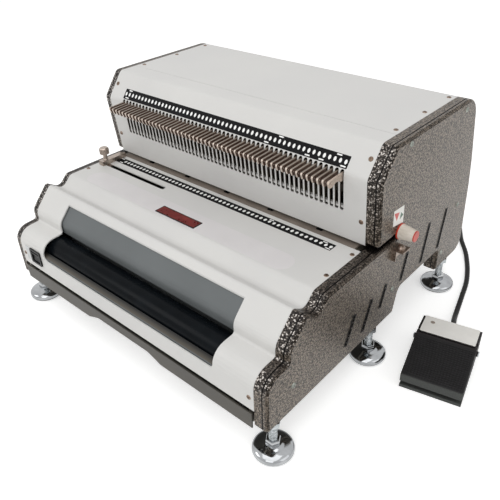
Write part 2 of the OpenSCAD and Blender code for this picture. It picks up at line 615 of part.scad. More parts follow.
// Edge guide: a bar with a tongue in the deck slot, clamped by a knurled knob
bar_w = 9;
tongue_w = 2.2;
bar_h = 6;
knob_bolt_d = 3;
guide_knob_d = 12;
guide_knob_h = 17;
module edge_guide() place() color(dark) difference() {
    union() {
        block(guide_x - bar_w / 2, guide_x + bar_w / 2, guide_y - 8, deck_rear_y - 1, deck_z + run_gap,
            deck_z + bar_h);
        block(guide_x - tongue_w, guide_x + bar_w / 2, guide_y - guide_slot_w / 2 + run_gap,
            guide_y + guide_slot_w / 2 - run_gap, deck_z - sheet_t - 3, deck_z + bar_h);
        block(guide_x - tongue_w, guide_x + bar_w, guide_y - 6, guide_y + 6,
            deck_z - sheet_t - 3, deck_z - sheet_t - run_gap);
    }
    translate([guide_x, guide_y, deck_z - 10]) cylinder(d = knob_bolt_d + 2 * fit_gap, h = 30);
}
module guide_knob() place() color(black) translate([guide_x, guide_y, deck_z + bar_h]) {
    translate([0, 0, -9]) cylinder(d = knob_bolt_d, h = 12);
    translate([0, 0, seat_gap]) rotate_extrude() polygon([[0, 0], [3.6, 0], [3, 1], [2.6, 7.5],
        [guide_knob_d / 2, 8.5], [guide_knob_d / 2, guide_knob_h - 1.2],
        [guide_knob_d / 2 - 1.2, guide_knob_h], [0, guide_knob_h]]);
}

// Margin stop: a rod with flats across the throat, turned by the knob
flat_len = 30;
module margin_rod() place() color(steel) difference() {
    rod_x(rod_y, rod_z, -frame_out_x, side_x + knob_len - 6, rod_d);
    for (i = [0:8]) block(-between_x + 25 + i * 38, -between_x + 25 + i * 38 + flat_len,
        rod_y - rod_d, rod_y - rod_d / 2 + 0.8, rod_z - rod_d, rod_z + rod_d);
}
ring_t = 1.6;
cap_t = 1.2;
module margin_knob() place() color("wheat") difference() {
    translate([side_x + run_gap + ring_t, rod_y, rod_z]) rotate([0, 90, 0])
        rotate_extrude() polygon([[rod_d / 2 + fit_gap, 0], [knob_d / 2, 0], [knob_d / 2 - 2.1,
            knob_len - ring_t - cap_t - run_gap],
            [rod_d / 2 + fit_gap, knob_len - ring_t - cap_t - run_gap]]);
    for (a = [0:20:340]) translate([side_x, rod_y, rod_z]) rotate([a, 0, 0])
        translate([ring_t + 2, 0, knob_d / 2 + 0.2]) rotate([0, 90, 0]) cylinder(d = 1.6, h = knob_len,
            $fn = 16);
}
module knob_trim() place() color("firebrick") {
    pipe_x(rod_y, rod_z, side_x + run_gap, side_x + run_gap + ring_t, knob_d + 1, rod_d + 2 * fit_gap);
    rod_x(rod_y, rod_z, side_x + knob_len - cap_t, side_x + knob_len, knob_d - 4.5);
}
shelf_z = rod_z - 17.3;
shelf_y0 = rod_y - 11.5;
shelf_y1 = rod_y + 3.5;
gusset_t = 1.4;
module detent_bracket() place() color("rosybrown") {
    block(side_x, side_x + gusset_t, shelf_y0, shelf_y1, shelf_z - 14, shelf_z);
    block(side_x, side_x + 13, shelf_y0, shelf_y1, shelf_z - gusset_t, shelf_z);
    block(side_x, side_x + 5, shelf_y0, shelf_y0 + gusset_t, shelf_z - 14, shelf_z);
    translate([side_x + 6.3, rod_y - 4.2, shelf_z - 0.1]) rotate_extrude()
        polygon([[0, 0], [4.6, 0], [4.4, 1.6], [3.4, 3.4], [1.8, 4.4], [0, 4.7]]);
}

// Levelling feet: a cup on a stud, a lock nut and the threaded block in the panel
hex_h = 7;
module foot(side, y) translate([foot_x(side), y, 0]) {
    rotate_extrude() polygon([[0, 0], [foot_d / 2 - 1.5, 0], [foot_d / 2 - 1.5, 1.5], [foot_d / 2, 2.5],
        [foot_d / 2 - 0.6, 6], [foot_d / 2 - 4, 9], [stud_d + 1, cup_h], [stud_d / 2, cup_h],
        [stud_d / 2, skid_z + block_h], [0, skid_z + block_h]]);
    translate([0, 0, cup_h - 1]) cylinder(d = stud_d * 2, h = hex_h + 1, $fn = 6);
}
module foot_front_left() place() color("lightgray") foot(-1, foot_ys[0]);
module foot_front_right() place() color("lightgray") foot(1, foot_ys[0]);
module foot_middle_left() place() color("lightgray") foot(-1, foot_ys[1]);
module foot_middle_right() place() color("lightgray") foot(1, foot_ys[1]);
module foot_rear_left() place() color("lightgray") foot(-1, foot_ys[2]);
module foot_rear_right() place() color("lightgray") foot(1, foot_ys[2]);
module each_foot() for (s = [-1, 1], y = foot_ys) translate([foot_x(s), y, 0]) children();
module foot_nuts() place() color(steel) each_foot() difference() {
    translate([0, 0, skid_z - seat_gap - nut_h]) cylinder(d = stud_d * 2, h = nut_h, $fn = 6);
    translate([0, 0, skid_z - nut_h - cut - 1]) cylinder(d = stud_d + 2 * fit_gap, h = nut_h + 2 * cut);
}
block_z = skid_z + panel_t + groove_w + seat_gap;
module foot_block(out_x, at_x, y) difference() {
    block(frame_out_x + seat_gap / 2, out_x - panel_t - seat_gap, y - 9, y + 9, block_z,
        block_z + block_h);
    translate([at_x, y, skid_z]) cylinder(d = stud_d + 2 * fit_gap, h = block_h + 10);
}
module foot_blocks() place() color(hammer) for (y = foot_ys) {
    foot_block(side_x, right_foot_x, y);
    mirror([1, 0, 0]) foot_block(left_x, left_foot_x, y);
}

// Electrics: board on the raised base, inlet and gland in the rear
board_z = arch_z + sheet_t + 8;
board_t = 1.6;
board_w = 100;
board_d = 62;
board_edge = 6;
board_x = -40;
board_y = 84;
post_d = 6;
relay_w = 42;
relay_d = 36;
relay_h = 34;
can_d = 14;
can_h = 26;
plug_w = 28;
plug_d = 16;
plug_h = 18;
module control_board() place() color("darkgreen") translate([board_x, board_y, 0]) {
    block(0, board_w, 0, board_d, board_z, board_z + board_t);
    for (x = [board_edge, board_w - board_edge], y = [board_edge, board_d - board_edge])
        translate([x, y, arch_z + sheet_t]) cylinder(d = post_d, h = board_z - arch_z - sheet_t + 1);
    translate([board_w / 10, board_edge * 2, board_z + 1]) block(0, relay_w, 0, relay_d, 0, relay_h - 1);
    for (i = [0, 1]) translate([board_w * 0.64 + i * (can_d + 4), board_d - relay_w, board_z + 1])
        cylinder(d = can_d, h = can_h);
    translate([board_w * 0.6, board_d - plug_w, board_z + 1]) block(0, plug_w, 0, plug_d, 0, plug_h - 1);
}
module mains_inlet() place() color(black) translate([inlet_x, 0, inlet_z]) difference() {
    union() {
        along_y(inlet_y, inlet_y + inlet_t) polygon(box_ring(48, 24, 3));
        along_y(inlet_y - 26, inlet_y + 1) polygon(box_ring(28 - 2 * seat_gap, 20 - 2 * seat_gap, 2));
    }
    difference() {
        along_y(inlet_y - 20, inlet_y + 4) polygon(box_ring(24, 16, 2));
        for (x = [-7, 0, 7]) translate([x, inlet_y - 21, x == 0 ? 2 : -1]) rotate([-90, 0, 0])
            cylinder(d = 3, h = 17);
    }
}
gland_y = low_rear_y(gland_z);
module cord_gland() place() color(black) translate([gland_x, 0, gland_z]) rotate([-90, 0, 0])
    rotate_extrude()
    polygon([[0, gland_y - 8], [6, gland_y - 8], [6, gland_y + 1.2], [9, gland_y + 1.2], [9, gland_y + 5],
        [6.5, gland_y + 6], [cord_d / 2 + 1, gland_end_y], [0, gland_end_y]]);

// Foot pedal: base with a housing, and a sprung treadle on a cross pin
module at_pedal() translate([pedal_end[0], pedal_end[1], 0]) rotate([0, 0, pedal_turn])
    translate([0, -half_l - boss_len, 0]) children();
half_w = pedal_w / 2;
half_l = pedal_len / 2;
skirt_t = 2.5;
house_v = pivot_v + 5.5;
front_v = pivot_v - 1.4;
neck_w = half_w - skirt_t - 0.8;
tread_front_z = pedal_h - 17;
tread_end_v = front_v - 0.6;
module pedal_base() place() color(black) at_pedal() {
    block(-half_w, half_w, -half_l + 1, half_l, 0, 4);
    block(-half_w + skirt_t + 2, half_w - skirt_t - 2, -half_l + 6.5, -half_l + 9, 3, tread_front_z - 8);
    along_x(-half_w, half_w) polygon(ring([[house_v, 3, 0], [half_l, 3, 0], [half_l, pedal_h - 2, 3],
        [house_v, pedal_h, 0]]));
    along_x(-neck_w, neck_w) polygon([[front_v, 3], [house_v + 1, 3], [house_v + 1, pedal_h - 0.1],
        [front_v, pedal_h - 0.1]]);
    rod_x(pivot_v, pivot_z, -half_w - 2, half_w + 2, pivot_d);
    translate([0, half_l - 1, boss_z]) rotate([-90, 0, 0]) cylinder(d = cord_d + 5, h = boss_len + 1);
}
tread_corners = [[-half_l, tread_front_z, 2], [-half_l, tread_front_z - 10, 0],
    [-half_l + skirt_t, tread_front_z - 10, 0], [-half_l + skirt_t, tread_front_z - 3, 1],
    [pivot_v - 7.5, pedal_h - 5, 0], [tread_end_v, pedal_h - 5, 0], [tread_end_v, pedal_h, 1]];
skirt_corners = [[-half_l, tread_front_z - 10, 0], [pivot_v - 5, pivot_z - 8, 4],
    [pivot_v + 3.5, pivot_z - 4, 3], [pivot_v + 3.8, pedal_h - 1, 1], [tread_end_v, pedal_h, 0],
    [-half_l, tread_front_z, 2]];
module pedal_treadle() place() color(dark) at_pedal() difference() {
    union() {
        along_x(-half_w, half_w) polygon(ring(tread_corners));
        each_side() along_x(half_w - skirt_t, half_w) polygon(ring(skirt_corners));
    }
    rod_x(pivot_v, pivot_z, -half_w - 5, half_w + 5, pivot_d + 2 * fit_gap);
}

// Cord: tubes swept along smooth curves through their points
function curve(p, i, t) = let (n = len(p) - 1, a = p[max(i - 1, 0)], b = p[i], c = p[i + 1],
    d = p[min(i + 2, n)])
    b + (c - a) * t / 2 + (2 * a - 5 * b + 4 * c - d) * t * t / 2 + (3 * b - a - 3 * c + d)
        * t * t * t / 2;
function smooth(p, k) = [for (i = [0:len(p) - 2], j = [0:k - 1]) curve(p, i, j / k), p[len(p) - 1]];
function heading(p, i) = unit(p[min(i + 1, len(p) - 1)] - p[max(i - 1, 0)]);
function tube_ring(p, i, r, n) = let (h = heading(p, i), flat_h = norm([h[0], h[1]]),
    s = flat_h > 0.05 ? [h[1], -h[0], 0] / flat_h : [1, 0, 0], u = cross(s, h))
    [for (k = [0:n - 1]) p[i] + r * (cos(360 * (k + 0.5) / n) * s + sin(360 * (k + 0.5) / n) * u)];
module tube(p, d, n) let (m = len(p)) polyhedron(
    [for (i = [0:m - 1]) each tube_ring(p, i, d / 2, n)],
    [[for (k = [n - 1:-1:0]) k],
     for (i = [0:m - 2], k = [0:n - 1]) each let (a = i * n + k, b = i * n + (k + 1) % n) [[a, b,
         b + n], [a, b + n, a + n]],
     [for (k = [0:n - 1]) (m - 1) * n + k]]);
module pedal_cord() place() color(black) {
    tube(smooth(lead_points, 2), cord_d, 8);
    tube(smooth(run_points, 2), cord_d, 8);
}

// Coil: in over the lower layer, up in the half turn at the middle, out over the upper layer
coil_total = 2 * coil_turns + 0.5;
coil_rings = 24;
function coil_r(t) = t < coil_turns ? coil_out_r - coil_step * t
    : t < coil_turns + 0.5 ? coil_in_r : coil_in_r + coil_step * (t - coil_turns - 0.5);
function coil_z(t) = floor_cord + coil_step * min(max((t - coil_turns) / 0.5, 0), 1);
function coil_point(t) = [coil_at[0] + coil_r(t) * cos(180 - 360 * t), coil_at[1] + coil_r(t)
    * sin(180 - 360 * t), coil_z(t)];
coil_path = concat([[coil_at[0] - coil_out_r, coil_at[1] - 5, coil_z(0)]],
    [for (i = [0:coil_total * coil_rings]) coil_point(i / coil_rings)],
    [[coil_at[0] + 5, coil_at[1] + coil_out_r, coil_z(coil_total)]]);
module cord_coil() place() color(black) tube(coil_path, cord_d, 6);

// Least gap of the coil to itself, measured between points more than half a turn apart
coil_gap = min([for (i = [0:len(coil_path) - 1], j = [i + coil_rings / 2:1:len(coil_path) - 1])
    norm(coil_path[i] - coil_path[j])]) - cord_d;
echo(coil_gap = coil_gap);

left_side_panel();
right_side_panel();
left_frame_plate();
right_frame_plate();
upper_front_cover();
top_cover();
rear_cover();
deck_cover();
base_plate();
chip_drawer();
die_plate();
guide_plate();
punches();
punch_ram();
ram_bushes();
guide_columns();
column_brackets();
pin_comb();
die_pins();
die_pin_52();
die_pin_53();
die_pin_54();
camshaft();
lift_cams();
camshaft_bearings();
camshaft_pulley();
punch_belt();
punch_motor();
punch_motor_pulley();
roller_sleeve();
roller_shaft();
roller_bearings();
roller_pulley();
roller_belt();
roller_motor();
roller_motor_pulley();
roller_trough();
switch_bezel();
switch_rocker();
edge_guide();
guide_knob();
margin_rod();
margin_knob();
knob_trim();
detent_bracket();
foot_front_left();
foot_front_right();
foot_middle_left();
foot_middle_right();
foot_rear_left();
foot_rear_right();
foot_nuts();
foot_blocks();
control_board();
mains_inlet();
cord_gland();
pedal_base();
pedal_treadle();
pedal_cord();
cord_coil();
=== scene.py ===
import math
from functools import partial

import bmesh
import bpy
from mathutils import Matrix, Vector


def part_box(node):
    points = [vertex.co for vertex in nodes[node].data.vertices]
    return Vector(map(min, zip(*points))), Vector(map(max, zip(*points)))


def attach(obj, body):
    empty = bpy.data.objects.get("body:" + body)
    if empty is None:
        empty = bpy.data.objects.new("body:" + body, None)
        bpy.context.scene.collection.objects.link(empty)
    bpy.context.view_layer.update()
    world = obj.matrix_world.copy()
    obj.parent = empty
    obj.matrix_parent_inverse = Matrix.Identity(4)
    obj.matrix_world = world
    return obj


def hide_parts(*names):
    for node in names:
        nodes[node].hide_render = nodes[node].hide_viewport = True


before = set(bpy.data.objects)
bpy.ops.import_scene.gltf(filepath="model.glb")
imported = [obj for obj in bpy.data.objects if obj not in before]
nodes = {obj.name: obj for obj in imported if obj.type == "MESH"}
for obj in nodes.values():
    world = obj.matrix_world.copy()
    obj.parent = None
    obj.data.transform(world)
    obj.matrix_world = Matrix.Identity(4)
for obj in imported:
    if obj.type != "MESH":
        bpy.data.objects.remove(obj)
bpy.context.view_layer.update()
scene = bpy.context.scene
scene.view_settings.view_transform = "Standard"
print("frame loaded:", len(nodes), "nodes")

mm = 0.001
middle = (5.025, 28.819)  # middle of the machine in its working frame, mm


def at(x, y, z):
    return Vector(((x - middle[0]) * mm, (y - middle[1]) * mm, z * mm))


def inMetres(sizes):
    return [size * mm for size in sizes]


def shift(x, y, z):
    return Matrix.Translation(inMetres((x, y, z)))


def linear(code):
    parts = [int(code[i:i + 2], 16) / 255 for i in (1, 3, 5)]
    return tuple(c / 12.92 if c <= 0.04045 else ((c + 0.055) / 1.055) ** 2.4 for c in parts) + (1.0,)


# fills inputs by name, or the live ones in order from a list; a node stands for its first live output
def feed(node, inputs):
    if not isinstance(inputs, dict):
        inputs = dict(zip([i for i, socket in enumerate(node.inputs) if socket.enabled], inputs))
    for key, value in inputs.items():
        if isinstance(value, bpy.types.Node):
            value = next(socket for socket in value.outputs if socket.enabled)
        if isinstance(value, bpy.types.NodeSocket):
            node.id_data.links.new(value, node.inputs[key])
        else:
            node.inputs[key].default_value = value


# adds a node, sets it and links it; stops are a ramp's positions and colours
def addNode(tree, kind, inputs=(), stops=None, **settings):
    node = tree.nodes.new(kind)
    for name, value in settings.items():
        setattr(node, name, value)
    if stops:
        elements = node.color_ramp.elements
        while len(elements) < len(stops):
            elements.new(1.0)
        for element, (position, code) in zip(elements, stops):
            element.position, element.color = position, linear(code)
    feed(node, inputs)
    return node


def addObject(name, data):
    thing = bpy.data.objects.new(name, data)
    scene.collection.objects.link(thing)
    return thing


# camera at the photograph's own place
cameraSet = {"place": (440.53, -435.47, 484.78), "azimuth": 42.46, "elevation": 33.80, "roll": -2.18,
             "lens": 41.92, "sensor": 36, "nearest": 0.02}


def makeCamera(s):
    a, e, r = (math.radians(s[k]) for k in ("azimuth", "elevation", "roll"))
    right = Vector((math.cos(a), math.sin(a), 0))
    up = Vector((-math.sin(a) * math.sin(e), math.cos(a) * math.sin(e), math.cos(e)))
    back = Vector((math.sin(a) * math.cos(e), -math.cos(a) * math.cos(e), math.sin(e)))
    data = bpy.data.cameras.new("photoCamera")
    data.lens = s["lens"]
    data.sensor_width = s["sensor"]
    data.clip_start = s["nearest"]
    camera = addObject("photoCamera", data)
    rolled = (right * math.cos(r) + up * math.sin(r), up * math.cos(r) - right * math.sin(r), back)
    camera.matrix_world = Matrix.Translation(at(*s["place"])) @ Matrix(rolled).transposed().to_4x4()
    scene.camera = camera


makeCamera(cameraSet)
print("camera set")

# materials
noiseSpan = (0.3, 0.7)  # the values that a noise mostly takes
glossDrift = 0.04  # roughness to either side of its mean
bumpShare = 0.4  # a grain's height to its width


def perMm(size):
    return 1000 / size


def spread(tones, span=noiseSpan):
    return list(zip(span, tones))


def startMaterial(name):
    material = bpy.data.materials.new(name)
    material.use_nodes = True
    material.node_tree.nodes.clear()
    add = partial(addNode, material.node_tree)
    shader = add("ShaderNodeBsdfPrincipled")
    add("ShaderNodeOutputMaterial", {"Surface": shader})
    coordinates = add("ShaderNodeTexCoord").outputs
    return material, add, shader, coordinates["Object"], coordinates["Normal"]


# relief from a pattern's height, and the gloss
def endMaterial(add, shader, colour, height, bump, bumpMm, rough, metal=0.0, specular=0.5):
    relief = add("ShaderNodeBump", {"Height": height, "Strength": bump, "Distance": bumpMm * mm})
    feed(shader, {"Base Color": colour, "Normal": relief, "Roughness": rough, "Metallic": metal,
                  "Specular IOR Level": specular})


# a finish whose colour and gloss drift a little; its grain is drawn coarser than it is, so that it shows
def mottled(name, tones, cloudMm, grainMm, rough, bump=0.05, metal=0.0, specular=0.5,
            wallShade=None, heightShade=None):
    material, add, shader, place, normal = startMaterial(name)
    cloud = add("ShaderNodeTexNoise", {"Vector": place, "Scale": perMm(cloudMm), "Detail": 3.0})
    colour = add("ShaderNodeValToRGB", [cloud], stops=spread(tones))
    gloss = add("ShaderNodeMapRange", [cloud, *noiseSpan, rough - glossDrift, rough + glossDrift])
    grain = add("ShaderNodeTexNoise", {"Vector": place, "Scale": perMm(grainMm)})
    layers = []
    # painted shade on faces that point along x, such as the walls of slots
    if wallShade:
        facing = add("ShaderNodeSeparateXYZ", [normal]).outputs
        sideways = add("ShaderNodeMath", [facing["X"]], operation="ABSOLUTE")
        layers.append((sideways, linear(wallShade)))
    # painted shade that grows with height, between two heights
    if heightShade:
        spot = add("ShaderNodeSeparateXYZ", [place]).outputs
        thick = add("ShaderNodeMapRange", [spot["Z"], *inMetres(heightShade["heightMm"])])
        layers.append((thick, linear(heightShade["tone"])))
    for share, tone in layers:
        colour = add("ShaderNodeMix", [share, colour, tone], data_type="RGBA")
    endMaterial(add, shader, colour, grain, bump, grainMm * bumpShare, gloss, metal, specular)
    return material


# each line gives a name, two tones, the widths of drift and grain in mm, and then the gloss
# powder coat: a baked film with a faint orange peel, so its gloss is broad and even
coat = {"tones": ("#d2d1cf", "#d8d7d4"), "cloudMm": 120, "grainMm": 1.8, "rough": 0.42, "specular": 0.3}
powderCoat = mottled("whitePowderCoat", **coat)
# the same coat on the slotted cover, with painted shade on the slot walls so that the slots read darker and
# wider
slottedCoat = mottled("whitePowderCoatShadedSlots", **coat, wallShade="#4a4238")
# stoved enamel on folded sheet: smooth, with a slow drift in tone
brownEnamel = mottled("brownGreyEnamel", ("#494641", "#53504a"), 60, 1.2, rough=0.42, bump=0.06,
                      specular=0.25)
greyEnamel = mottled("greyEnamel", ("#5f6364", "#686c6d"), 80, 1.2, rough=0.5, specular=0.3)
# the same kind in taupe, darkened towards the roller as painted shade
apronEnamel = mottled("taupeEnamelShadedByRoller", ("#5a554c", "#666056"), 40, 1.2, rough=0.4, specular=0.25,
                      heightShade={"heightMm": (87.4, 92.4), "tone": "#161513"})
# ground and moulded rubber: near black, with a soft band of gloss along the roller and none on belt and mat
rollerRubber = mottled("rollerRubber", ("#080b0e", "#0e1216"), 25, 1.0, rough=0.26, specular=0.06)
beltRubber = mottled("beltRubber", ("#141414", "#1d1d1c"), 12, 0.8, rough=0.65, bump=0.2)
matRubber = mottled("ribbedMatRubber", ("#151415", "#1f1e1f"), 10, 0.9, rough=0.55, bump=0.15, specular=0.2)
# extruded PVC: a smooth skin with a broken highlight; the strap's weave is matt
cordVinyl = mottled("cordVinyl", ("#0e0d0d", "#161514"), 20, 0.9, rough=0.45, bump=0.08, specular=0.16)
tieWebbing = mottled("blackTieWebbing", ("#1c1c1d", "#2a2a2b"), 6, 0.9, rough=0.8, bump=0.4)
# moulded plastics: a spark-eroded mould leaves a fine even texture
blackAbs = mottled("blackAbs", ("#121212", "#1a1a1a"), 10, 0.8, rough=0.45, bump=0.12, specular=0.25)
ivoryNylon = mottled("ivoryNylon", ("#d1c8bb", "#e0d8cd"), 9, 0.7, rough=0.42, bump=0.06)
redAbs = mottled("redAbs", ("#b8321f", "#cf4630"), 8, 0.7, rough=0.35)
boardResin = mottled("boardResin", ("#17402a", "#1f5537"), 9, 0.6, rough=0.4)
# screen-printed inks, label stock and enamel: flat films that keep a slight unevenness
printInk = mottled("blackPrintInk", ("#0a0a0c", "#111113"), 15, 0.8, rough=0.5, bump=0.02, specular=0.1)
printWhite = mottled("whitePrintInk", ("#efefed", "#f8f8f6"), 15, 0.8, rough=0.45, bump=0.02)
printLilac = mottled("lilacPrintInk", ("#d6d3d3", "#dbd8d8"), 30, 1.2, rough=0.42, bump=0.02, specular=0.3)
plateWhite = mottled("whiteLabelStock", ("#e6e4df", "#efede8"), 18, 0.8, rough=0.38, bump=0.03)
labelRed = mottled("redLabelInk", ("#c24a45", "#d25a54"), 8, 0.8, rough=0.4, bump=0.02)
labelGreen = mottled("greenLabelInk", ("#3d5f4c", "#4a6f5a"), 8, 0.8, rough=0.4, bump=0.02)
labelFoil = mottled("greyLabelFoil", ("#b2b4b4", "#c6c8c8"), 6, 0.8, rough=0.35, bump=0.04, metal=0.3)
badgeEnamel = mottled("maroonBadgeEnamel", ("#5c1d1c", "#7d2a27"), 9, 0.8, rough=0.3)
# nickel over copper: warm plating, satin on turned parts; the bent bracket's copy is darker: its own
# brownish plating, deepened by painted shade
warmPlate = mottled("warmNickelPlate", ("#b7a698", "#cdbdb0"), 14, 0.9, rough=0.36, bump=0.06, metal=0.5)
satinNickel = mottled("satinNickel", ("#a1948a", "#bbaea3"), 6, 0.6, rough=0.28, metal=0.9)
shadedNickel = mottled("shadedNickel", ("#6f6157", "#a39286"), 4, 0.8, rough=0.3, bump=0.08, metal=0.8)
# zinc has a cold cast; the cover screws have a bronzed finish that shows dark against the white
zincPlate = mottled("brightZinc", ("#a4a9ab", "#c3c8ca"), 5, 0.6, rough=0.25, metal=1.0)
dullZinc = mottled("dullZinc", ("#72766f", "#a0a49c"), 4, 0.8, rough=0.35, bump=0.08, metal=0.9)
bronzedSteel = mottled("bronzedSteel", ("#6f5d50", "#8e7b6b"), 3, 0.6, rough=0.3, metal=0.8)
# phosphated and blackened steel: dull, they keep no mirror even in the throat's shade
phosphatedSteel = mottled("phosphatedSteel", ("#766c63", "#857b71"), 20, 0.9, rough=0.55, bump=0.06,
                          metal=0.1)
blackSteel = mottled("blackenedSteel", ("#232426", "#323335"), 12, 0.9, rough=0.4, bump=0.06, metal=0.7)
# a matt black sheet as painted shade in the vent slits and the throat's notches; sintered bronze is
# open-grained and warm
shadeSheet = mottled("blackShadeSheet", ("#0a0a0a", "#131313"), 4, 0.9, rough=0.9, bump=0.3, specular=0.05)
sinterBronze = mottled("sinterBronze", ("#8a6236", "#a67a48"), 4, 0.5, rough=0.4, bump=0.1, metal=1.0)

# ground along X: scratches that stretch the highlight, drawn coarser than real ones so that they show
steelLook = {"tones": ("#79746b", "#a49e93"), "scratchMm": 1.1, "stretch": 0.06, "rough": (0.3, 0.5),
             "bump": 0.08, "bumpMm": 0.3, "metal": 1.0}


def groundSteelMaterial(look):
    material, add, shader, place = startMaterial("groundSteel")[:4]
    drawn = add("ShaderNodeMapping", {"Vector": place, "Scale": (look["stretch"], 1.0, 1.0)})
    scratch = add("ShaderNodeTexNoise", {"Vector": drawn, "Scale": perMm(look["scratchMm"]), "Detail": 4.0})
    colour = add("ShaderNodeValToRGB", [scratch], stops=spread(look["tones"], (0.0, 1.0)))
    gloss = add("ShaderNodeMapRange", [scratch, 0.0, 1.0, *look["rough"]])
    endMaterial(add, shader, colour, scratch, look["bump"], look["bumpMm"], gloss, look["metal"])
    return material


groundSteel = groundSteelMaterial(steelLook)

# hammertone lacquer: silver flake drawn into small glossy cells, so the flat looks grained; bright flecks
# are painted glints where an edge leans to the key lamp, and painted shade darkens the groove round the rim
# and the throat's slot
hammerLook = {
    "flat": [(0.05, "#211c16"), (0.22, "#4e463d"), (0.40, "#897d70")],
    # the rim ramp holds painted glints, the ramp after it painted shade for the deck's low rim
    "rim": [(0.08, "#110e0c"), (0.22, "#2a2521"), (0.34, "#5e5750"), (0.46, "#dcd5cf")],
    "plain": [(0.06, "#171310"), (0.22, "#312b26"), (0.42, "#736a62")],
    "cellMm": 2.0, "cellSmooth": 0.35, "cellShare": 0.5, "fleckMm": 1.7, "warpMm": 4.5, "bendMm": 2.25,
    "flatFacing": (0.8, 0.97), "topFacing": (0.2, 0.6), "glintLampTo": (0, -0.77, 0.64), "glintShare": (0.76, 0.96),
    "headMm": (130, 228), "headGlint": 0.26, "shadedMm": (165, 215),  # heights between which each grows
    "grooves": (199.8, -204.6), "grooveMm": (0.6, 0.9),  # along x, and from full to none
    "slotMm": (155, 3.7), "slotFront": -25,  # middle and half of its height, and where it starts
    "paintedShade": "#120f0d", "bump": (0.9, 0.36), "bumpMm": 1.2, "metal": 0.35, "rough": 0.3, "specular": 0.3,
}


def hammertoneMaterial(look):
    material, add, shader, place, normal = startMaterial("hammertoneLacquer")
    warp = add("ShaderNodeTexNoise", {"Vector": place, "Scale": perMm(look["warpMm"])})
    bend = add("ShaderNodeVectorMath", [warp.outputs["Color"], inMetres([look["bendMm"]] * 3)],
               operation="MULTIPLY")
    moved = add("ShaderNodeVectorMath", [place, bend], operation="ADD")
    cells = add("ShaderNodeTexVoronoi",
                {"Vector": moved, "Scale": perMm(look["cellMm"]), "Smoothness": look["cellSmooth"]},
                feature="SMOOTH_F1")
    fleck = add("ShaderNodeTexNoise", {"Vector": place, "Scale": perMm(look["fleckMm"])})
    field = add("ShaderNodeMath", [cells, look["cellShare"]], operation="MULTIPLY")
    mixed = add("ShaderNodeMath", [fleck, field], operation="SUBTRACT")
    flat, rim, plain = (add("ShaderNodeValToRGB", [mixed], stops=look[k]) for k in ("flat", "rim", "plain"))
    facing = add("ShaderNodeSeparateXYZ", [normal]).outputs
    spot = add("ShaderNodeSeparateXYZ", [place]).outputs
    sideways = add("ShaderNodeMath", [facing["X"]], operation="ABSOLUTE")
    level = add("ShaderNodeMapRange", [sideways, *look["flatFacing"]])
    edge = add("ShaderNodeMath", [1.0, level], operation="SUBTRACT")
    # painted glints: the rim takes its bright-flecked ramp where it leans to the key lamp, and more so on
    # the head's front
    slant = add("ShaderNodeVectorMath", [normal, look["glintLampTo"]], operation="DOT_PRODUCT")
    forward = add("ShaderNodeMapRange", [facing["Z"], *look["topFacing"], look["headGlint"], 0.0])
    lift = add("ShaderNodeMapRange", [spot["Z"], *inMetres(look["headMm"]), 0.0, forward])
    lifted = add("ShaderNodeMath", [slant, lift], operation="ADD")
    glintShare = add("ShaderNodeMapRange", [lifted, *look["glintShare"]])
    # painted shade: the deck's rim, low and facing up under the head, takes a darker ramp
    low = add("ShaderNodeMapRange", [spot["Z"], *inMetres(look["shadedMm"]), 1.0, 0.0])
    upward = add("ShaderNodeMapRange", [facing["Z"], *look["topFacing"]])
    rimShadeShare = add("ShaderNodeMath", [low, upward], operation="MULTIPLY")
    layers = [(rimShadeShare, plain), (glintShare, rim), (level, flat)]
    # painted shade along the groove round each side panel's rim
    for groove in look["grooves"]:
        away = add("ShaderNodeMath", [spot["X"], groove * mm], operation="SUBTRACT")
        away = add("ShaderNodeMath", [away], operation="ABSOLUTE")
        grooveShade = add("ShaderNodeMapRange", [away, *inMetres(look["grooveMm"]), 1.0, 0.0])
        layers.append((grooveShade, linear(look["paintedShade"])))
    # painted shade on the panel's rim across the throat's slot, behind its front
    slotShade = add("ShaderNodeMath", [spot["Z"], *inMetres(look["slotMm"])], operation="COMPARE")
    behind = add("ShaderNodeMath", [spot["Y"], look["slotFront"] * mm], operation="GREATER_THAN")
    for part in (behind, edge):
        slotShade = add("ShaderNodeMath", [slotShade, part], operation="MULTIPLY")
    layers.append((slotShade, linear(look["paintedShade"])))
    colour = flat
    for share, tone in layers:
        colour = add("ShaderNodeMix", [share, colour, tone], data_type="RGBA")
    strength = add("ShaderNodeMapRange", [level, 0.0, 1.0, *look["bump"]])
    endMaterial(add, shader, colour, mixed, strength, look["bumpMm"], look["rough"], look["metal"],
                look["specular"])
    return material


hammertone = hammertoneMaterial(hammerLook)

# stamped pin in warm nickel with painted light and shade: its sheared edges bright, its tops mid, its broad
# sides dark where the neighbouring pins shade them; its grain is drawn coarse, so that it shows
pinLook = {"edge": ("#bfb0a3", "#d6c8bc"), "side": ("#5c463c", "#735d50"), "top": ("#857a6e", "#998e82"),
           "topFacing": (0.75, 0.98), "cloudMm": 14, "grainMm": 0.9, "bump": 0.06, "bumpMm": 0.3,
           "metal": 0.3, "rough": 0.32}


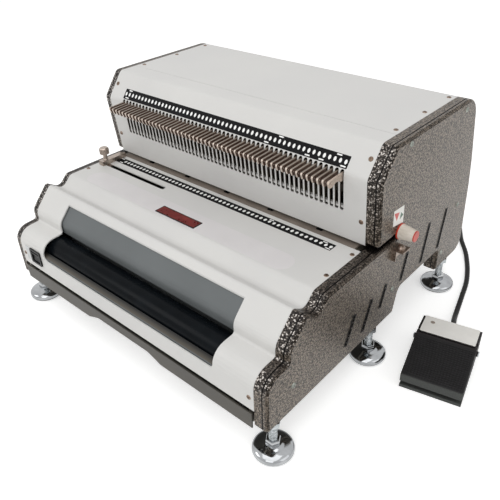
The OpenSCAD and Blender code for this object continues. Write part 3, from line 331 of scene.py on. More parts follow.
def pinMaterial(look):
    material, add, shader, place, normal = startMaterial("nickelPinsPaintedShade")
    cloud = add("ShaderNodeTexNoise", {"Vector": place, "Scale": perMm(look["cloudMm"]), "Detail": 3.0})
    colour, side, top = (add("ShaderNodeValToRGB", [cloud], stops=spread(look[k]))
                         for k in ("edge", "side", "top"))
    facing = add("ShaderNodeSeparateXYZ", [normal]).outputs
    upward = add("ShaderNodeMapRange", [facing["Z"], *look["topFacing"]])
    sideways = add("ShaderNodeMath", [facing["X"]], operation="ABSOLUTE")
    # painted light and shade: tops take a mid tone and sides a dark one, by which way a face points
    for share, tone in ((upward, top), (sideways, side)):
        colour = add("ShaderNodeMix", [share, colour, tone], data_type="RGBA")
    grain = add("ShaderNodeTexNoise", {"Vector": place, "Scale": perMm(look["grainMm"])})
    endMaterial(add, shader, colour, grain, look["bump"], look["bumpMm"], look["rough"], look["metal"])
    return material


shadedPinNickel = pinMaterial(pinLook)

# chromed cup on a rubber sole: mirror bright, with a dull black ring where it meets the floor
cupLook = {"chrome": ("#9a9c9e", "#b2b4b6"), "sole": "#161616", "cloudMm": 14, "soleMm": 1.55,
           "rough": (0.7, 0.1)}


def footMaterial(look):
    material, add, shader, place = startMaterial("chromedCup")[:4]
    spot = add("ShaderNodeSeparateXYZ", [place]).outputs
    plated = add("ShaderNodeMath", [spot["Z"], look["soleMm"] * mm], operation="GREATER_THAN")
    cloud = add("ShaderNodeTexNoise", {"Vector": place, "Scale": perMm(look["cloudMm"])})
    bright = add("ShaderNodeValToRGB", [cloud], stops=spread(look["chrome"]))
    colour = add("ShaderNodeMix", [plated, linear(look["sole"]), bright], data_type="RGBA")
    gloss = add("ShaderNodeMapRange", [plated, 0.0, 1.0, *look["rough"]])
    feed(shader, {"Base Color": colour, "Roughness": gloss, "Metallic": plated})
    return material


brightChrome = footMaterial(cupLook)

# crinkle paint on a cast pedal: coarse enough to scatter its highlight; painted light greys it low down,
# where the front faces catch the light
crinkleLook = {"upperBlack": ("#1d1a1b", "#262223"), "litLow": ("#434543", "#4e504e"), "litLowMm": (19, 21),
               "grainMm": 1.1, "bump": 0.35, "bumpMm": 0.4, "rough": 0.5, "specular": 0.2}


def crinkleMaterial(look):
    material, add, shader, place = startMaterial("blackCrinklePaint")[:4]
    spot = add("ShaderNodeSeparateXYZ", [place]).outputs
    # painted light: a lighter grey below these heights
    high = add("ShaderNodeMapRange", [spot["Z"], *inMetres(look["litLowMm"])])
    grain = add("ShaderNodeTexNoise", {"Vector": place, "Scale": perMm(look["grainMm"])})
    litLow, upperBlack = (add("ShaderNodeValToRGB", [grain], stops=spread(look[k])) for k in ("litLow", "upperBlack"))
    colour = add("ShaderNodeMix", [high, litLow, upperBlack], data_type="RGBA")
    endMaterial(add, shader, colour, grain, look["bump"], look["bumpMm"], look["rough"],
                specular=look["specular"])
    return material


crinklePaint = crinkleMaterial(crinkleLook)
print("materials made")

feet = ["foot_" + row + side for row in ("front_", "middle_", "rear_") for side in ("left", "right")]
finishOf = {
    powderCoat: ["top_cover", "rear_cover", "deck_cover"],
    slottedCoat: ["upper_front_cover"],
    hammertone: ["left_side_panel", "right_side_panel"],
    brownEnamel: ["chip_drawer", "base_plate", "foot_blocks", "column_brackets"],
    greyEnamel: ["roller_trough"],
    phosphatedSteel: ["die_plate"],
    groundSteel: ["guide_plate", "left_frame_plate", "right_frame_plate", "punches", "punch_ram",
                  "guide_columns", "camshaft", "roller_shaft", "margin_rod"],
    blackSteel: ["pin_comb", "lift_cams", "camshaft_bearings", "camshaft_pulley", "punch_motor_pulley",
                 "roller_bearings", "roller_pulley", "roller_motor_pulley", "punch_motor", "roller_motor"],
    # the pins carry painted shade on their sides; the last pin, whose side is lit, keeps the warm plating
    # without it
    shadedPinNickel: ["die_pins", "die_pin_52", "die_pin_53"],
    warmPlate: ["die_pin_54"],
    shadedNickel: ["detent_bracket"],
    satinNickel: ["edge_guide", "guide_knob"],
    sinterBronze: ["ram_bushes"],
    rollerRubber: ["roller_sleeve"],
    beltRubber: ["punch_belt", "roller_belt"],
    cordVinyl: ["pedal_cord", "cord_coil", "cord_gland"],
    blackAbs: ["switch_bezel", "switch_rocker", "mains_inlet"],
    ivoryNylon: ["margin_knob"],
    redAbs: ["knob_trim"],
    brightChrome: feet,
    zincPlate: ["foot_nuts"],
    boardResin: ["control_board"],
    crinklePaint: ["pedal_base", "pedal_treadle"],
}
for material, names in finishOf.items():
    for name in names:
        nodes[name].data.materials.clear()
        nodes[name].data.materials.append(material)
print("nodes finished:", sum(len(names) for names in finishOf.values()))


def addPiece(name, mesh, material, body="chassis"):
    mesh.name = name
    mesh.materials.clear()
    mesh.materials.append(material)
    for polygon in mesh.polygons:
        polygon.material_index = 0
    piece = addObject(name, mesh)
    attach(piece, body)
    return piece


# rear end of the pedal on the floor, and its turn
pedalPlace = {"end": (268, 99), "turn": 12.5}
# the pedal's cord: out of the gland, down to the floor, one coil behind the machine, then to the pedal
cordSet = {
    "diameter": 6.5, "steps": 4, "sides": 3,
    "gland": (60, 250, 66), "stub": 8, "bend": 31.3, "bendSteps": 4, "landing": 6.4, "floor": 3.35,
    "run": [(111.5, 378.1, 10.35), (116.5, 378.1, 10.35), (121.5, 378.1, 10.35), (138, 374.5, 9.4),
            (153, 364, 5.6), (165, 348, 3.5), (175, 330, 3.35), (185, 312, 3.35), (203, 286, 3.35),
            (214, 266, 3.35), (224, 245.5, 3.35), (235, 217, 3.35), (243, 186, 3.35), (250, 158, 3.6),
            (255.5, 137, 6), (260.5, 122, 10.4)],
    "tail": (10, 5, 0), "tailHeight": 13,
    "coilAt": (106.3, 331.8), "coilOut": 46.3, "coilStep": 7.0, "coilTurns": 2.875, "coilClimb": 0.5,
    "coilSteps": 24,
}


# straight out of the gland, then one bend down and one that lands it on the floor
def leadLine(s):
    (x, y, z), r = s["gland"], s["bend"]
    out, centre = y + s["stub"], z - r
    turns = [math.pi / 2 * i / s["bendSteps"] for i in range(s["bendSteps"] + 1)]
    line = [(x, y, z), (x, (y + out) / 2, z)]
    line += [(x, out + r * math.sin(a), centre + r * math.cos(a)) for a in turns]
    line += [(x, out + r * (2 - math.cos(a)), centre - r * math.sin(a)) for a in turns[1:-1]]
    return line + [(x, out + 2 * r + k * s["landing"], s["floor"]) for k in (0, 0.5, 1)]


def smoothLine(points, steps):
    line = []
    last = len(points) - 1
    for i in range(last):
        a, b, c, d = (Vector(points[k]) for k in (max(i - 1, 0), i, i + 1, min(i + 2, last)))
        for j in range(steps):
            t = j / steps
            line.append(b + (c - a) * t / 2 + (2 * a - 5 * b + 4 * c - d) * t * t / 2
                        + (3 * b - a - 3 * c + d) * t ** 3 / 2)
    return line + [Vector(points[last])]


# winds in on the floor, climbs, and winds out again on top
def coilLine(s):
    turns, climbTurns, step = s["coilTurns"], s["coilClimb"], s["coilStep"]
    inner = s["coilOut"] - turns * step
    line = []
    for i in range(int((2 * turns + climbTurns) * s["coilSteps"]) + 1):
        t = i / s["coilSteps"]
        climb = min(max((t - turns) / climbTurns, 0), 1)
        radius = s["coilOut"] - step * t
        if climb > 0:
            radius = inner + step * max(t - turns - climbTurns, 0)
        angle = math.pi - 2 * math.pi * t
        x, y = s["coilAt"][0] + radius * math.cos(angle), s["coilAt"][1] + radius * math.sin(angle)
        line.append(Vector((x, y, s["floor"] + step * climb)))
    return line


def makeCord(s):
    turn = math.radians(pedalPlace["turn"])
    x, y = pedalPlace["end"]
    tail = [(x - k * math.sin(turn), y + k * math.cos(turn), s["tailHeight"]) for k in s["tail"]]
    line = smoothLine(leadLine(s), s["steps"]) + coilLine(s) + smoothLine(s["run"] + tail, s["steps"])
    points = [at(*p) for p in line]
    curve = bpy.data.curves.new("pedalCord", "CURVE")
    curve.dimensions = "3D"
    curve.bevel_depth = s["diameter"] / 2 * mm
    curve.bevel_resolution = s["sides"]
    curve.use_fill_caps = True
    spline = curve.splines.new("POLY")
    spline.points.add(len(points) - 1)
    for point, place in zip(spline.points, points):
        point.co = (*place, 1)
    spline.use_smooth = True
    curve.materials.append(cordVinyl)
    cord = addObject("pedalCord", curve)
    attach(cord, "chassis")
    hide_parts("pedal_cord", "cord_coil")
    length = sum((b - a).length for a, b in zip(points, points[1:]))
    return cord, points, length


pedalCord, cordPoints, cordLength = makeCord(cordSet)
print("cord made, length", round(cordLength, 3))


# small mesh helpers: a plate from an outline, laid on any plane
def plane(origin, along, up):
    x = Vector(along).normalized()
    z = x.cross(Vector(up)).normalized()
    y = z.cross(x)
    return Matrix.Translation(origin) @ Matrix((x, y, z)).transposed().to_4x4()


def plainMesh(bm):
    mesh = bpy.data.meshes.new("piece")
    bm.to_mesh(mesh)
    bm.free()
    return mesh


def finishMesh(bm, matrix=None):
    bmesh.ops.recalc_face_normals(bm, faces=bm.faces)
    mesh = plainMesh(bm)
    if matrix:
        mesh.transform(matrix)
    return mesh


# outline in mm on the plane, thickness along its normal
def plateMesh(outline, thick, matrix, bevel=0.0):
    bm = bmesh.new()
    face = bm.faces.new([bm.verts.new((x * mm, y * mm, 0)) for x, y in outline])
    extruded = bmesh.ops.extrude_face_region(bm, geom=[face])["geom"]
    upper = [v for v in extruded if isinstance(v, bmesh.types.BMVert)]
    bmesh.ops.translate(bm, vec=(0, 0, thick * mm), verts=upper)
    bmesh.ops.recalc_face_normals(bm, faces=bm.faces)
    if bevel:
        top = [e for e in bm.edges if all(v.co.z > thick / 2 * mm for v in e.verts)]
        bmesh.ops.bevel(bm, geom=top, offset=bevel * mm, segments=2, affect="EDGES", profile=0.5)
    return finishMesh(bm, matrix)


def roundRect(x0, x1, y0, y1, radius, steps=5):
    outline = []
    for cx, cy, start in ((x1 - radius, y1 - radius, 0), (x0 + radius, y1 - radius, 90),
                          (x0 + radius, y0 + radius, 180), (x1 - radius, y0 + radius, 270)):
        for i in range(steps + 1):
            a = math.radians(start + 90 * i / steps)
            outline.append((cx + radius * math.cos(a), cy + radius * math.sin(a)))
    return outline


def disc(x, y, radius, steps=20):
    return [(x + radius * math.cos(2 * math.pi * i / steps), y + radius * math.sin(2 * math.pi * i / steps))
            for i in range(steps)]


# faces between each loop and the next, and in a ring back to the first
def skinLoops(bm, loops, ring=True):
    count = len(loops[0])
    for first, second in zip(loops, loops[1:] + loops[:1] if ring else loops[1:]):
        for i in range(count):
            j = (i + 1) % count
            bm.faces.new((first[i], first[j], second[j], second[i]))


def joinMeshes(meshes):
    bm = bmesh.new()
    for mesh in meshes:
        bm.from_mesh(mesh)
        bpy.data.meshes.remove(mesh)
    return plainMesh(bm)


# strap round the coil, drawn tight and flat under it
tieSet = {"turn": -60, "reach": (24.0, 46.3), "height": (0.03, 14.3), "thick": 0.6, "width": 8.0,
          "corner": 4.0}


def makeTie(s, c):
    a = math.radians(s["turn"])
    outward, along = Vector((math.cos(a), math.sin(a), 0)), Vector((-math.sin(a), math.cos(a), 0))
    base = at(*c["coilAt"], 0)
    (r0, r1), (z0, z1), thick = s["reach"], s["height"], s["thick"]
    outer = roundRect(r0, r1, z0, z1, s["corner"])
    inner = roundRect(r0 + thick, r1 - thick, z0 + thick, z1 - thick, s["corner"] - thick)
    bm = bmesh.new()
    loops = []
    for outline, side in ((outer, -1), (outer, 1), (inner, 1), (inner, -1)):
        loops.append([
            bm.verts.new(base + (outward * r + along * side * s["width"] / 2 + Vector((0, 0, z))) * mm)
            for r, z in outline])
    skinLoops(bm, loops)
    return addPiece("coilTie", finishMesh(bm), tieWebbing)


coilTie = makeTie(tieSet, cordSet)

# node trees for what repeats; a socket is a Float unless it is named here
socketKinds = {"Geometry": "Geometry", "Count": "Int", "Finish": "Material"}


def newTree(name, *labels):
    tree = bpy.data.node_groups.new(name, "GeometryNodeTree")
    for label in ("Geometry", *labels, "Finish"):
        kind = socketKinds.get(label, "Float")
        tree.interface.new_socket(label, in_out="INPUT", socket_type="NodeSocket" + kind)
    tree.interface.new_socket("Geometry", in_out="OUTPUT", socket_type="NodeSocketGeometry")
    add = partial(addNode, tree)
    return tree, add, add("NodeGroupInput").outputs


def endTree(tree, shape, inputs):
    real = addNode(tree, "GeometryNodeRealizeInstances", {"Geometry": shape})
    painted = addNode(tree, "GeometryNodeSetMaterial", {"Geometry": real, "Material": inputs["Finish"]})
    addNode(tree, "NodeGroupOutput", {"Geometry": painted})
    return tree


# runs a tree on a mesh of points, or on none, and gives back a plain mesh
def bakeTree(tree, values, base=None):
    if base is None:
        base = bpy.data.meshes.new("empty")
    holder = addObject("holder", base)
    modifier = holder.modifiers.new("tree", "NODES")
    modifier.node_group = tree
    for item in tree.interface.items_tree:
        if item.name in values:
            modifier[item.identifier] = values[item.name]
    evaluated = holder.evaluated_get(bpy.context.evaluated_depsgraph_get())
    mesh = bpy.data.meshes.new_from_object(evaluated)
    bpy.data.objects.remove(holder)
    return mesh


# pan heads with a cross recess, on points that carry their facing; crown and cross are shares of the radius
headSet = {"sides": 18, "crown": 0.72, "cross": 1.1, "seed": 7}


def screwTree(s):
    tree, add, inputs = newTree("screwHeads", "Head Radius", "Head Height", "Recess Width")
    radius, height, width = (inputs[k] for k in ("Head Radius", "Head Height", "Recess Width"))
    crown = add("ShaderNodeMath", [radius, s["crown"]], operation="MULTIPLY")
    shape = add("GeometryNodeMeshCone",
                {"Vertices": s["sides"], "Radius Top": crown, "Radius Bottom": radius, "Depth": height})
    reach = add("ShaderNodeMath", [radius, s["cross"]], operation="MULTIPLY")
    lift = add("ShaderNodeCombineXYZ", {"Z": height})
    for x, y in ((reach, width), (width, reach)):
        size = add("ShaderNodeCombineXYZ", [x, y, height])
        bar = add("GeometryNodeMeshCube", {"Size": size})
        raised = add("GeometryNodeTransform", {"Geometry": bar, "Translation": lift})
        shape = add("GeometryNodeMeshBoolean", {"Mesh 1": shape, "Mesh 2": raised}, operation="DIFFERENCE")
    facing = add("GeometryNodeInputNamedAttribute", {"Name": "facing"}, data_type="FLOAT_VECTOR")
    turn = add("FunctionNodeAlignRotationToVector", {"Vector": facing}, axis="Z")
    spin = add("FunctionNodeRandomValue", {"Seed": s["seed"]}, data_type="FLOAT")
    angle = add("ShaderNodeCombineXYZ", {"Z": spin})
    put = add("GeometryNodeInstanceOnPoints",
              {"Points": inputs["Geometry"], "Instance": shape, "Rotation": turn})
    spun = add("GeometryNodeRotateInstances", {"Instances": put, "Rotation": angle})
    return endTree(tree, spun, inputs)


# a row of oval marks, each as thick as a coat of ink: discs of unit size, scaled
def markTree(sides=14):
    tree, add, inputs = newTree("ovalMarks", "Count", "Pitch", "Width", "Height", "Thickness")
    offset = add("ShaderNodeCombineXYZ", {"X": inputs["Pitch"]})
    row = add("GeometryNodeMeshLine", {"Count": inputs["Count"], "Offset": offset})
    oval = add("GeometryNodeMeshCylinder", {"Vertices": sides, "Radius": 0.5, "Depth": 1.0})
    size = add("ShaderNodeCombineXYZ", [inputs[k] for k in ("Width", "Height", "Thickness")])
    put = add("GeometryNodeInstanceOnPoints", {"Points": row, "Instance": oval, "Scale": size})
    return endTree(tree, put, inputs)


# knurl ribs round a knob, leaning inwards where it tapers
def knurlTree(sides=8):
    tree, add, inputs = newTree("knurlRibs", "Count", "Ring Radius", "Rib Radius", "Rib Height", "Taper")
    circle = add("GeometryNodeMeshCircle", {"Vertices": inputs["Count"], "Radius": inputs["Ring Radius"]})
    rib = add("GeometryNodeMeshCylinder",
              {"Vertices": sides, "Radius": inputs["Rib Radius"], "Depth": inputs["Rib Height"]})
    spot = add("GeometryNodeInputPosition")
    outward = add("ShaderNodeVectorMath", [spot], operation="NORMALIZE")
    lean = add("ShaderNodeVectorMath", [outward, inputs["Taper"]], operation="SCALE")
    axis = add("ShaderNodeVectorMath", [(0, 0, 1), lean], operation="SUBTRACT")
    turn = add("FunctionNodeAlignRotationToVector", {"Vector": axis}, axis="Z")
    put = add("GeometryNodeInstanceOnPoints", {"Points": circle, "Instance": rib, "Rotation": turn})
    return endTree(tree, put, inputs)


# round ribs side by side across a mat
def matTree(sides=10):
    tree, add, inputs = newTree("matRibs", "Count", "Pitch", "Rib Radius", "Rib Length")
    offset = add("ShaderNodeCombineXYZ", {"Y": inputs["Pitch"]})
    row = add("GeometryNodeMeshLine", {"Count": inputs["Count"], "Offset": offset})
    rib = add("GeometryNodeMeshCylinder",
              {"Vertices": sides, "Radius": inputs["Rib Radius"], "Depth": inputs["Rib Length"]})
    lying = add("GeometryNodeTransform", {"Geometry": rib, "Rotation": (0, math.pi / 2, 0)})
    put = add("GeometryNodeInstanceOnPoints", {"Points": row, "Instance": lying})
    return endTree(tree, put, inputs)


# one screw thread: a ridge that climbs round an upright stud
def threadTree(steps=14, sides=4):
    tree, add, inputs = newTree("studThread", "Turns", "Stud Radius", "Height", "Ridge")
    radius = inputs["Stud Radius"]
    climb = add("GeometryNodeCurveSpiral",
                {"Resolution": steps, "Rotations": inputs["Turns"], "Start Radius": radius,
                 "End Radius": radius, "Height": inputs["Height"]})
    ridge = add("GeometryNodeCurvePrimitiveCircle", {"Resolution": sides, "Radius": inputs["Ridge"]})
    swept = add("GeometryNodeCurveToMesh", {"Curve": climb, "Profile Curve": ridge, "Fill Caps": True})
    return endTree(tree, swept, inputs)


screwHeads = screwTree(headSet)
ovalMarks = markTree()
knurlRibs = knurlTree()
matRibs = matTree()
studThread = threadTree()
print("node trees built")

# faces that carry prints, labels and screws: a point on each, and the ways along it and up it
faceSet = {"chamfer": ((0, -1.2, 232.5), (1, 0, 0), (0, 0.618, 0.786)),
           "deck": ((0, 0, 152), (1, 0, 0), (0, 1, 0)), "front": ((0, -170, 0), (1, 0, 0), (0, 0, 1)),
           "right": ((211, 0, 0), (0, 1, 0), (0, 0, 1)), "left": ((-205.7, 0, 0), (0, -1, 0), (0, 0, 1))}
faces = {name: plane(at(*spot), along, up) for name, (spot, along, up) in faceSet.items()}

# bronzed screws in the covers, let in a little, and zinc ones in the side panels; the rear cover's two walls
# are each given by a point and a run in y and z
screwSet = {
    "radius": 2.9, "height": 1.1, "recess": 0.8, "sunk": 0.4, "panelRadius": 3.2,
    "cover": [((188.6, 172, 262), (0, 1)), ((188.6, 116, 262), (0, 1)), ((188.6, 57, 262), (0, 1)),
              ((189.8, 11.2, 248.3), (-0.786, 0.618)), ((189.4, 3.6, 182.5), (-0.994, -0.105)),
              ((191, -11, 152), (0, 1)), ((191, -56, 152), (0, 1)), ((189, -170, 79), (-1, 0))],
    "panel": [(48.4, 256), (172, 253), (195.8, 125), (169.7, 67.7), (46.5, 83.7), (-132, 78)],
    "rearX": 185,
    "rear": [{"z": 205, "from": (222, 160), "run": (-25, 102), "facing": (0, 0.97, 0.24)},
             {"z": 80, "from": (233.5, 44), "run": (-11.5, 116), "facing": (0, 0.995, 0.099)}],
}


def bakeScrews(name, spots, finish, radius, s=screwSet):
    base = bpy.data.meshes.new("screwSpots")
    base.from_pydata([place for place, facing in spots], [], [])
    facings = base.attributes.new("facing", "FLOAT_VECTOR", "POINT")
    for i, (place, facing) in enumerate(spots):
        facings.data[i].vector = facing
    values = {"Head Radius": radius * mm, "Head Height": s["height"] * mm, "Recess Width": s["recess"] * mm,
              "Finish": finish}
    return addPiece(name, bakeTree(screwHeads, values, base), finish)


def makeScrews(s):
    covers, panels = [], []
    for side, face in ((-1, "left"), (1, "right")):
        covers += [(at(side * x, y - s["sunk"] * ny, z - s["sunk"] * nz), (0, ny, nz))
                   for (x, y, z), (ny, nz) in s["cover"]]
        panels += [(at(faceSet[face][0][0], y, z), (side, 0, 0)) for y, z in s["panel"]]
    for side in (1, -1):
        for wall in s["rear"]:
            y = wall["from"][0] + wall["run"][0] * (wall["z"] - wall["from"][1]) / wall["run"][1]
            covers.append((at(side * s["rearX"], y, wall["z"]), wall["facing"]))
    bakeScrews("coverScrews", covers, bronzedSteel, s["radius"])
    bakeScrews("panelScrews", panels, dullZinc, s["panelRadius"])


makeScrews(screwSet)
print("screws made")

# printed rulers: a black band with one oval to each pin, and plain dashes counted in pins
pinSet = {"count": 54, "pitch": 6.2865}
inkSet = {"thick": 0.12, "corner": 0.6, "ovalLift": 1.25, "dashLift": 0.8, "dash": (3, 0.7),
          "dashCorner": 0.5}
rulerSet = {
    "upperRuler": {
        "on": "chamfer", "x": (-169.8, 170.0), "y": (3.8, 17.1), "oval": (3.1, 5.0), "ovalMid": 10.5,
        "dashes": [(1, 15.6), (0.6, 5.7), (40, 15.6), (37.5, 5.7), (46, 5.7), (48.7, 5.7), (51.5, 15.6),
                   (52.8, 5.7)]},
    "deckRuler": {
        "on": "deck", "x": (-182, 169.5), "y": (-19.2, -7.0), "oval": (3.5, 4.8), "ovalMid": -12.9,
        "dashes": [(-1.6, -9.0), (-0.6, -17.2), (40, -9.0), (51.5, -9.0), (52.8, -17.2)]},
}


def makeRuler(name, s, ink):
    face = faces[s["on"]]
    band = plateMesh(roundRect(*s["x"], *s["y"], ink["corner"]), ink["thick"], face)
    addPiece(name + "Band", band, printInk)
    values = {"Count": pinSet["count"], "Pitch": pinSet["pitch"] * mm, "Width": s["oval"][0] * mm,
              "Height": s["oval"][1] * mm, "Thickness": ink["thick"] * mm, "Finish": printWhite}
    first = -(pinSet["count"] - 1) / 2 * pinSet["pitch"]
    meshes = [bakeTree(ovalMarks, values)]
    meshes[0].transform(face @ shift(first, s["ovalMid"], ink["thick"] * ink["ovalLift"]))
    above = face @ shift(0, 0, ink["thick"] * ink["dashLift"])
    wide, tall = ink["dash"]
    for pin, y in s["dashes"]:
        x = first + pin * pinSet["pitch"]
        outline = roundRect(x - wide, x + wide, y - tall, y + tall, ink["dashCorner"], steps=3)
        meshes.append(plateMesh(outline, ink["thick"], above))
    addPiece(name + "Marks", joinMeshes(meshes), printWhite)


for name, ruler in rulerSet.items():
    makeRuler(name, ruler, inkSet)
print("rulers printed")

# rail close behind the pin slots
railSet = {"x": 176, "y": (4.6, 8.6), "z": (190.4, 193.2), "corner": 0.6}


def makeRail(s):
    across = plane(at(-s["x"], 0, 0), (0, 1, 0), (0, 0, 1))
    mesh = plateMesh(roundRect(*s["y"], *s["z"], s["corner"], steps=3), 2 * s["x"], across)
    addPiece("slotRail", mesh, powderCoat)


makeRail(railSet)

# taupe apron that stands on the trough's front lip, before the roller
apronSet = {"x": 150, "line": [(-167.9, 88.4), (-163.4, 93.2)], "thick": 0.8, "corner": 0.4}


def makeApron(s):
    (y0, z0), (y1, z1) = s["line"]
    run = math.hypot(y1 - y0, z1 - z0)
    base = plane(at(0, y0, z0), (1, 0, 0), (0, y1 - y0, z1 - z0)) @ shift(0, 0, -s["thick"])
    mesh = plateMesh(roundRect(-s["x"], s["x"], 0, run, s["corner"], steps=3), s["thick"], base)
    addPiece("rollerApron", mesh, apronEnamel)


makeApron(apronSet)

# vent slits of both side panels: a black sheet inside and a thin black edging round each, painted shade that
# makes the slits read deep and wide
ventSet = {"sheetHalf": 2.0, "deep": 0.5, "thick": 0.8, "shadeRing": (2.05, 3.3), "proud": 0.3, "sunk": 0.2,
           "lines": [(155, 83, 163.7, 133), (111.6, 85, 121.2, 133), (64.6, 86, 73.2, 118),
                     (21.9, 73, 30.6, 99), (-11.8, 62, 1.9, 96), (-44.3, 64, -30.3, 96)]}


def slitOutline(line, half, side, longer=0.0):
    y0, z0, y1, z1 = line
    run = math.hypot(y1 - y0, z1 - z0)
    u, v = (y1 - y0) / run, (z1 - z0) / run
    corners = [(y0 - u * longer - v * half, z0 - v * longer + u * half),
               (y0 - u * longer + v * half, z0 - v * longer - u * half),
               (y1 + u * longer + v * half, z1 + v * longer - u * half),
               (y1 + u * longer - v * half, z1 + v * longer + u * half)]
    return [(side * y, z) for y, z in corners]


def makeVents(s):
    shadeSheets, shadeRings = [], []
    for side, face in ((1, faces["right"]), (-1, faces["left"])):
        inside = face @ shift(0, 0, -(s["deep"] + s["thick"]))
        for line in s["lines"]:
            shadeSheets.append(plateMesh(slitOutline(line, s["sheetHalf"], side), s["thick"], inside))
            inner, outer = (slitOutline(line, half, side, half - s["shadeRing"][0]) for half in s["shadeRing"])
            bm = bmesh.new()
            levels = ((outer, -s["sunk"]), (outer, s["proud"]), (inner, s["proud"]), (inner, -s["sunk"]))
            skinLoops(bm, [[bm.verts.new(inMetres((y, z, up))) for y, z in outline]
                           for outline, up in levels])
            shadeRings.append(finishMesh(bm, face))
    addPiece("ventShadeSheets", joinMeshes(shadeSheets), shadeSheet)
    addPiece("ventShadeRings", joinMeshes(shadeRings), blackAbs)


makeVents(ventSet)

# dark pads in the throat, on the die plate, level with the deck: painted shade for small notches under the
# lip
padSet = {"count": 5, "pitch": 68.64, "half": 4.0, "y": (6.2, 11.0), "thick": 0.35, "corner": 1.2,
          "bevel": 0.1}


def makePads(s):
    meshes = []
    for i in range(s["count"]):
        x = (i - (s["count"] - 1) / 2) * s["pitch"]
        outline = roundRect(x - s["half"], x + s["half"], *s["y"], s["corner"], steps=3)
        meshes.append(plateMesh(outline, s["thick"], faces["deck"], s["bevel"]))
    addPiece("throatShadePads", joinMeshes(meshes), shadeSheet)


makePads(padSet)

# bare label places: a plate by the switch, a printed stripe and an enamel badge on the deck, and by the
# margin knob a white plate with a red and a green arrow
labelSet = {
    "switchLabel": {
        "on": "front", "box": (-185.4, -174.6, 72, 92), "radius": 1.2, "lift": 0, "thick": 0.4,
        "bevel": 0.15, "finish": labelFoil, "slot": "zinc"},
    "deckStripe": {
        "on": "deck", "box": (-172, 156, -79, -50), "radius": 14.4, "lift": 0, "thick": 0.08,
        "bevel": 0, "finish": printLilac, "slot": "white_paint"},
    "deckBadgeEdge": {
        "on": "deck", "box": (-34.5, 29, -76.5, -61.5), "radius": 0.8, "lift": 0.04, "thick": 0.4,
        "bevel": 0.15, "finish": blackAbs, "slot": "black_plastic"},
    "deckBadge": {
        "on": "deck", "box": (-33, 27.5, -75, -63), "radius": 0.6, "lift": 0.3, "thick": 0.35,
        "bevel": 0.15, "finish": badgeEnamel, "slot": "red_plastic"},
    "marginLabel": {
        "on": "right", "corners": [(29.3, 190.7), (30, 172.3), (51.3, 168.3), (49.7, 189.2)],
        "lift": 0, "thick": 0.25, "bevel": 0, "finish": plateWhite, "slot": "white_paint"},
    "marginLabelRed": {
        "on": "right", "corners": [(30.2, 187.5), (36.3, 176.8), (40.9, 184.7)],
        "lift": 0.2, "thick": 0.15, "bevel": 0, "finish": labelRed, "slot": "red_plastic"},
    "marginLabelGreen": {
        "on": "right", "corners": [(44.3, 183.3), (42.9, 175.6), (49.6, 178.4)],
        "lift": 0.2, "thick": 0.15, "bevel": 0, "finish": labelGreen, "slot": "board"},
}


def makeLabel(name, s):
    outline = s["corners"] if "corners" in s else roundRect(*s["box"], s["radius"])
    lifted = faces[s["on"]] @ shift(0, 0, s["lift"])
    addPiece(name, plateMesh(outline, s["thick"], lifted, s["bevel"]), s["finish"])


for name, label in labelSet.items():
    makeLabel(name, label)
print("labels laid")

# knurl on the guide's clamp knob
knurlSet = {"x": -184, "y": -32, "low": 8.0, "high": 1.4, "count": 22, "ring": 5.8, "rib": 0.6}


def makeKnurl(s):
    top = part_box("guide_knob")[1][2]
    low, high = top - s["low"] * mm, top - s["high"] * mm
    values = {"Count": s["count"], "Ring Radius": s["ring"] * mm, "Rib Radius": s["rib"] * mm,
              "Rib Height": high - low, "Finish": satinNickel}
    mesh = bakeTree(knurlRibs, values)
    centre = at(s["x"], s["y"], 0)
    mesh.transform(Matrix.Translation((centre.x, centre.y, (low + high) / 2)))
    addPiece("guideKnobKnurl", mesh, satinNickel, "guide_screw")


makeKnurl(knurlSet)

# grip ribs on the margin knob, from its red ring to its cap
gripSet = {"count": 18, "rib": 0.45, "sunk": 0.15, "taper": 2.1, "clear": 0.7}


def makeGrip(s):
    low, high = (Vector(corner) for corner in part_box("margin_knob"))
    run = high.x - low.x
    values = {"Count": s["count"], "Ring Radius": (high.y - low.y) / 2 - (s["taper"] / 2 + s["sunk"]) * mm,
              "Rib Radius": s["rib"] * mm, "Rib Height": run - 2 * s["clear"] * mm,
              "Taper": s["taper"] * mm / run, "Finish": ivoryNylon}
    mesh = bakeTree(knurlRibs, values)
    mesh.transform(Matrix.Translation((low + high) / 2) @ Matrix.Rotation(math.pi / 2, 4, "Y"))
    addPiece("marginKnobGrip", mesh, ivoryNylon, "margin_stop")


makeGrip(gripSet)

# turned feet: chromed cup on a rubber sole, hex collar and stud; radii of the cup count from its rim
footSet = {"segments": 56, "sides": 6, "sharp": 38, "stud": 4.0, "chamfer": 0.6,
           "cup": [(-1.7, 0.0), (-1.4, 0.3), (-1.4, 1.5), (-0.3, 1.8), (0, 2.4), (0, 4.2), (-0.3, 5.6),
                   (-1.2, 6.9), (-3.0, 8.1), (-6.0, 9.1), (-9.5, 9.9)],
           "neck": [(9.3, 10.5), (8.4, 11.0), (4.0, 11.0)],
           "collar": [(7.3, 10.6), (8.0, 11.4), (8.0, 17.0), (7.1, 18.0)]}


def turned(bm, outline, segments, centre):
    rings = [[bm.verts.new((centre[0] + x * mm, centre[1] + y * mm, z * mm))
              for x, y in disc(0, 0, radius, segments)] for radius, z in outline]
    skinLoops(bm, rings, ring=False)
    bm.faces.new(rings[0])
    bm.faces.new(rings[-1])


def footCentre(name):
    low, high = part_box(name)
    return (low[0] + high[0]) / 2, (low[1] + high[1]) / 2


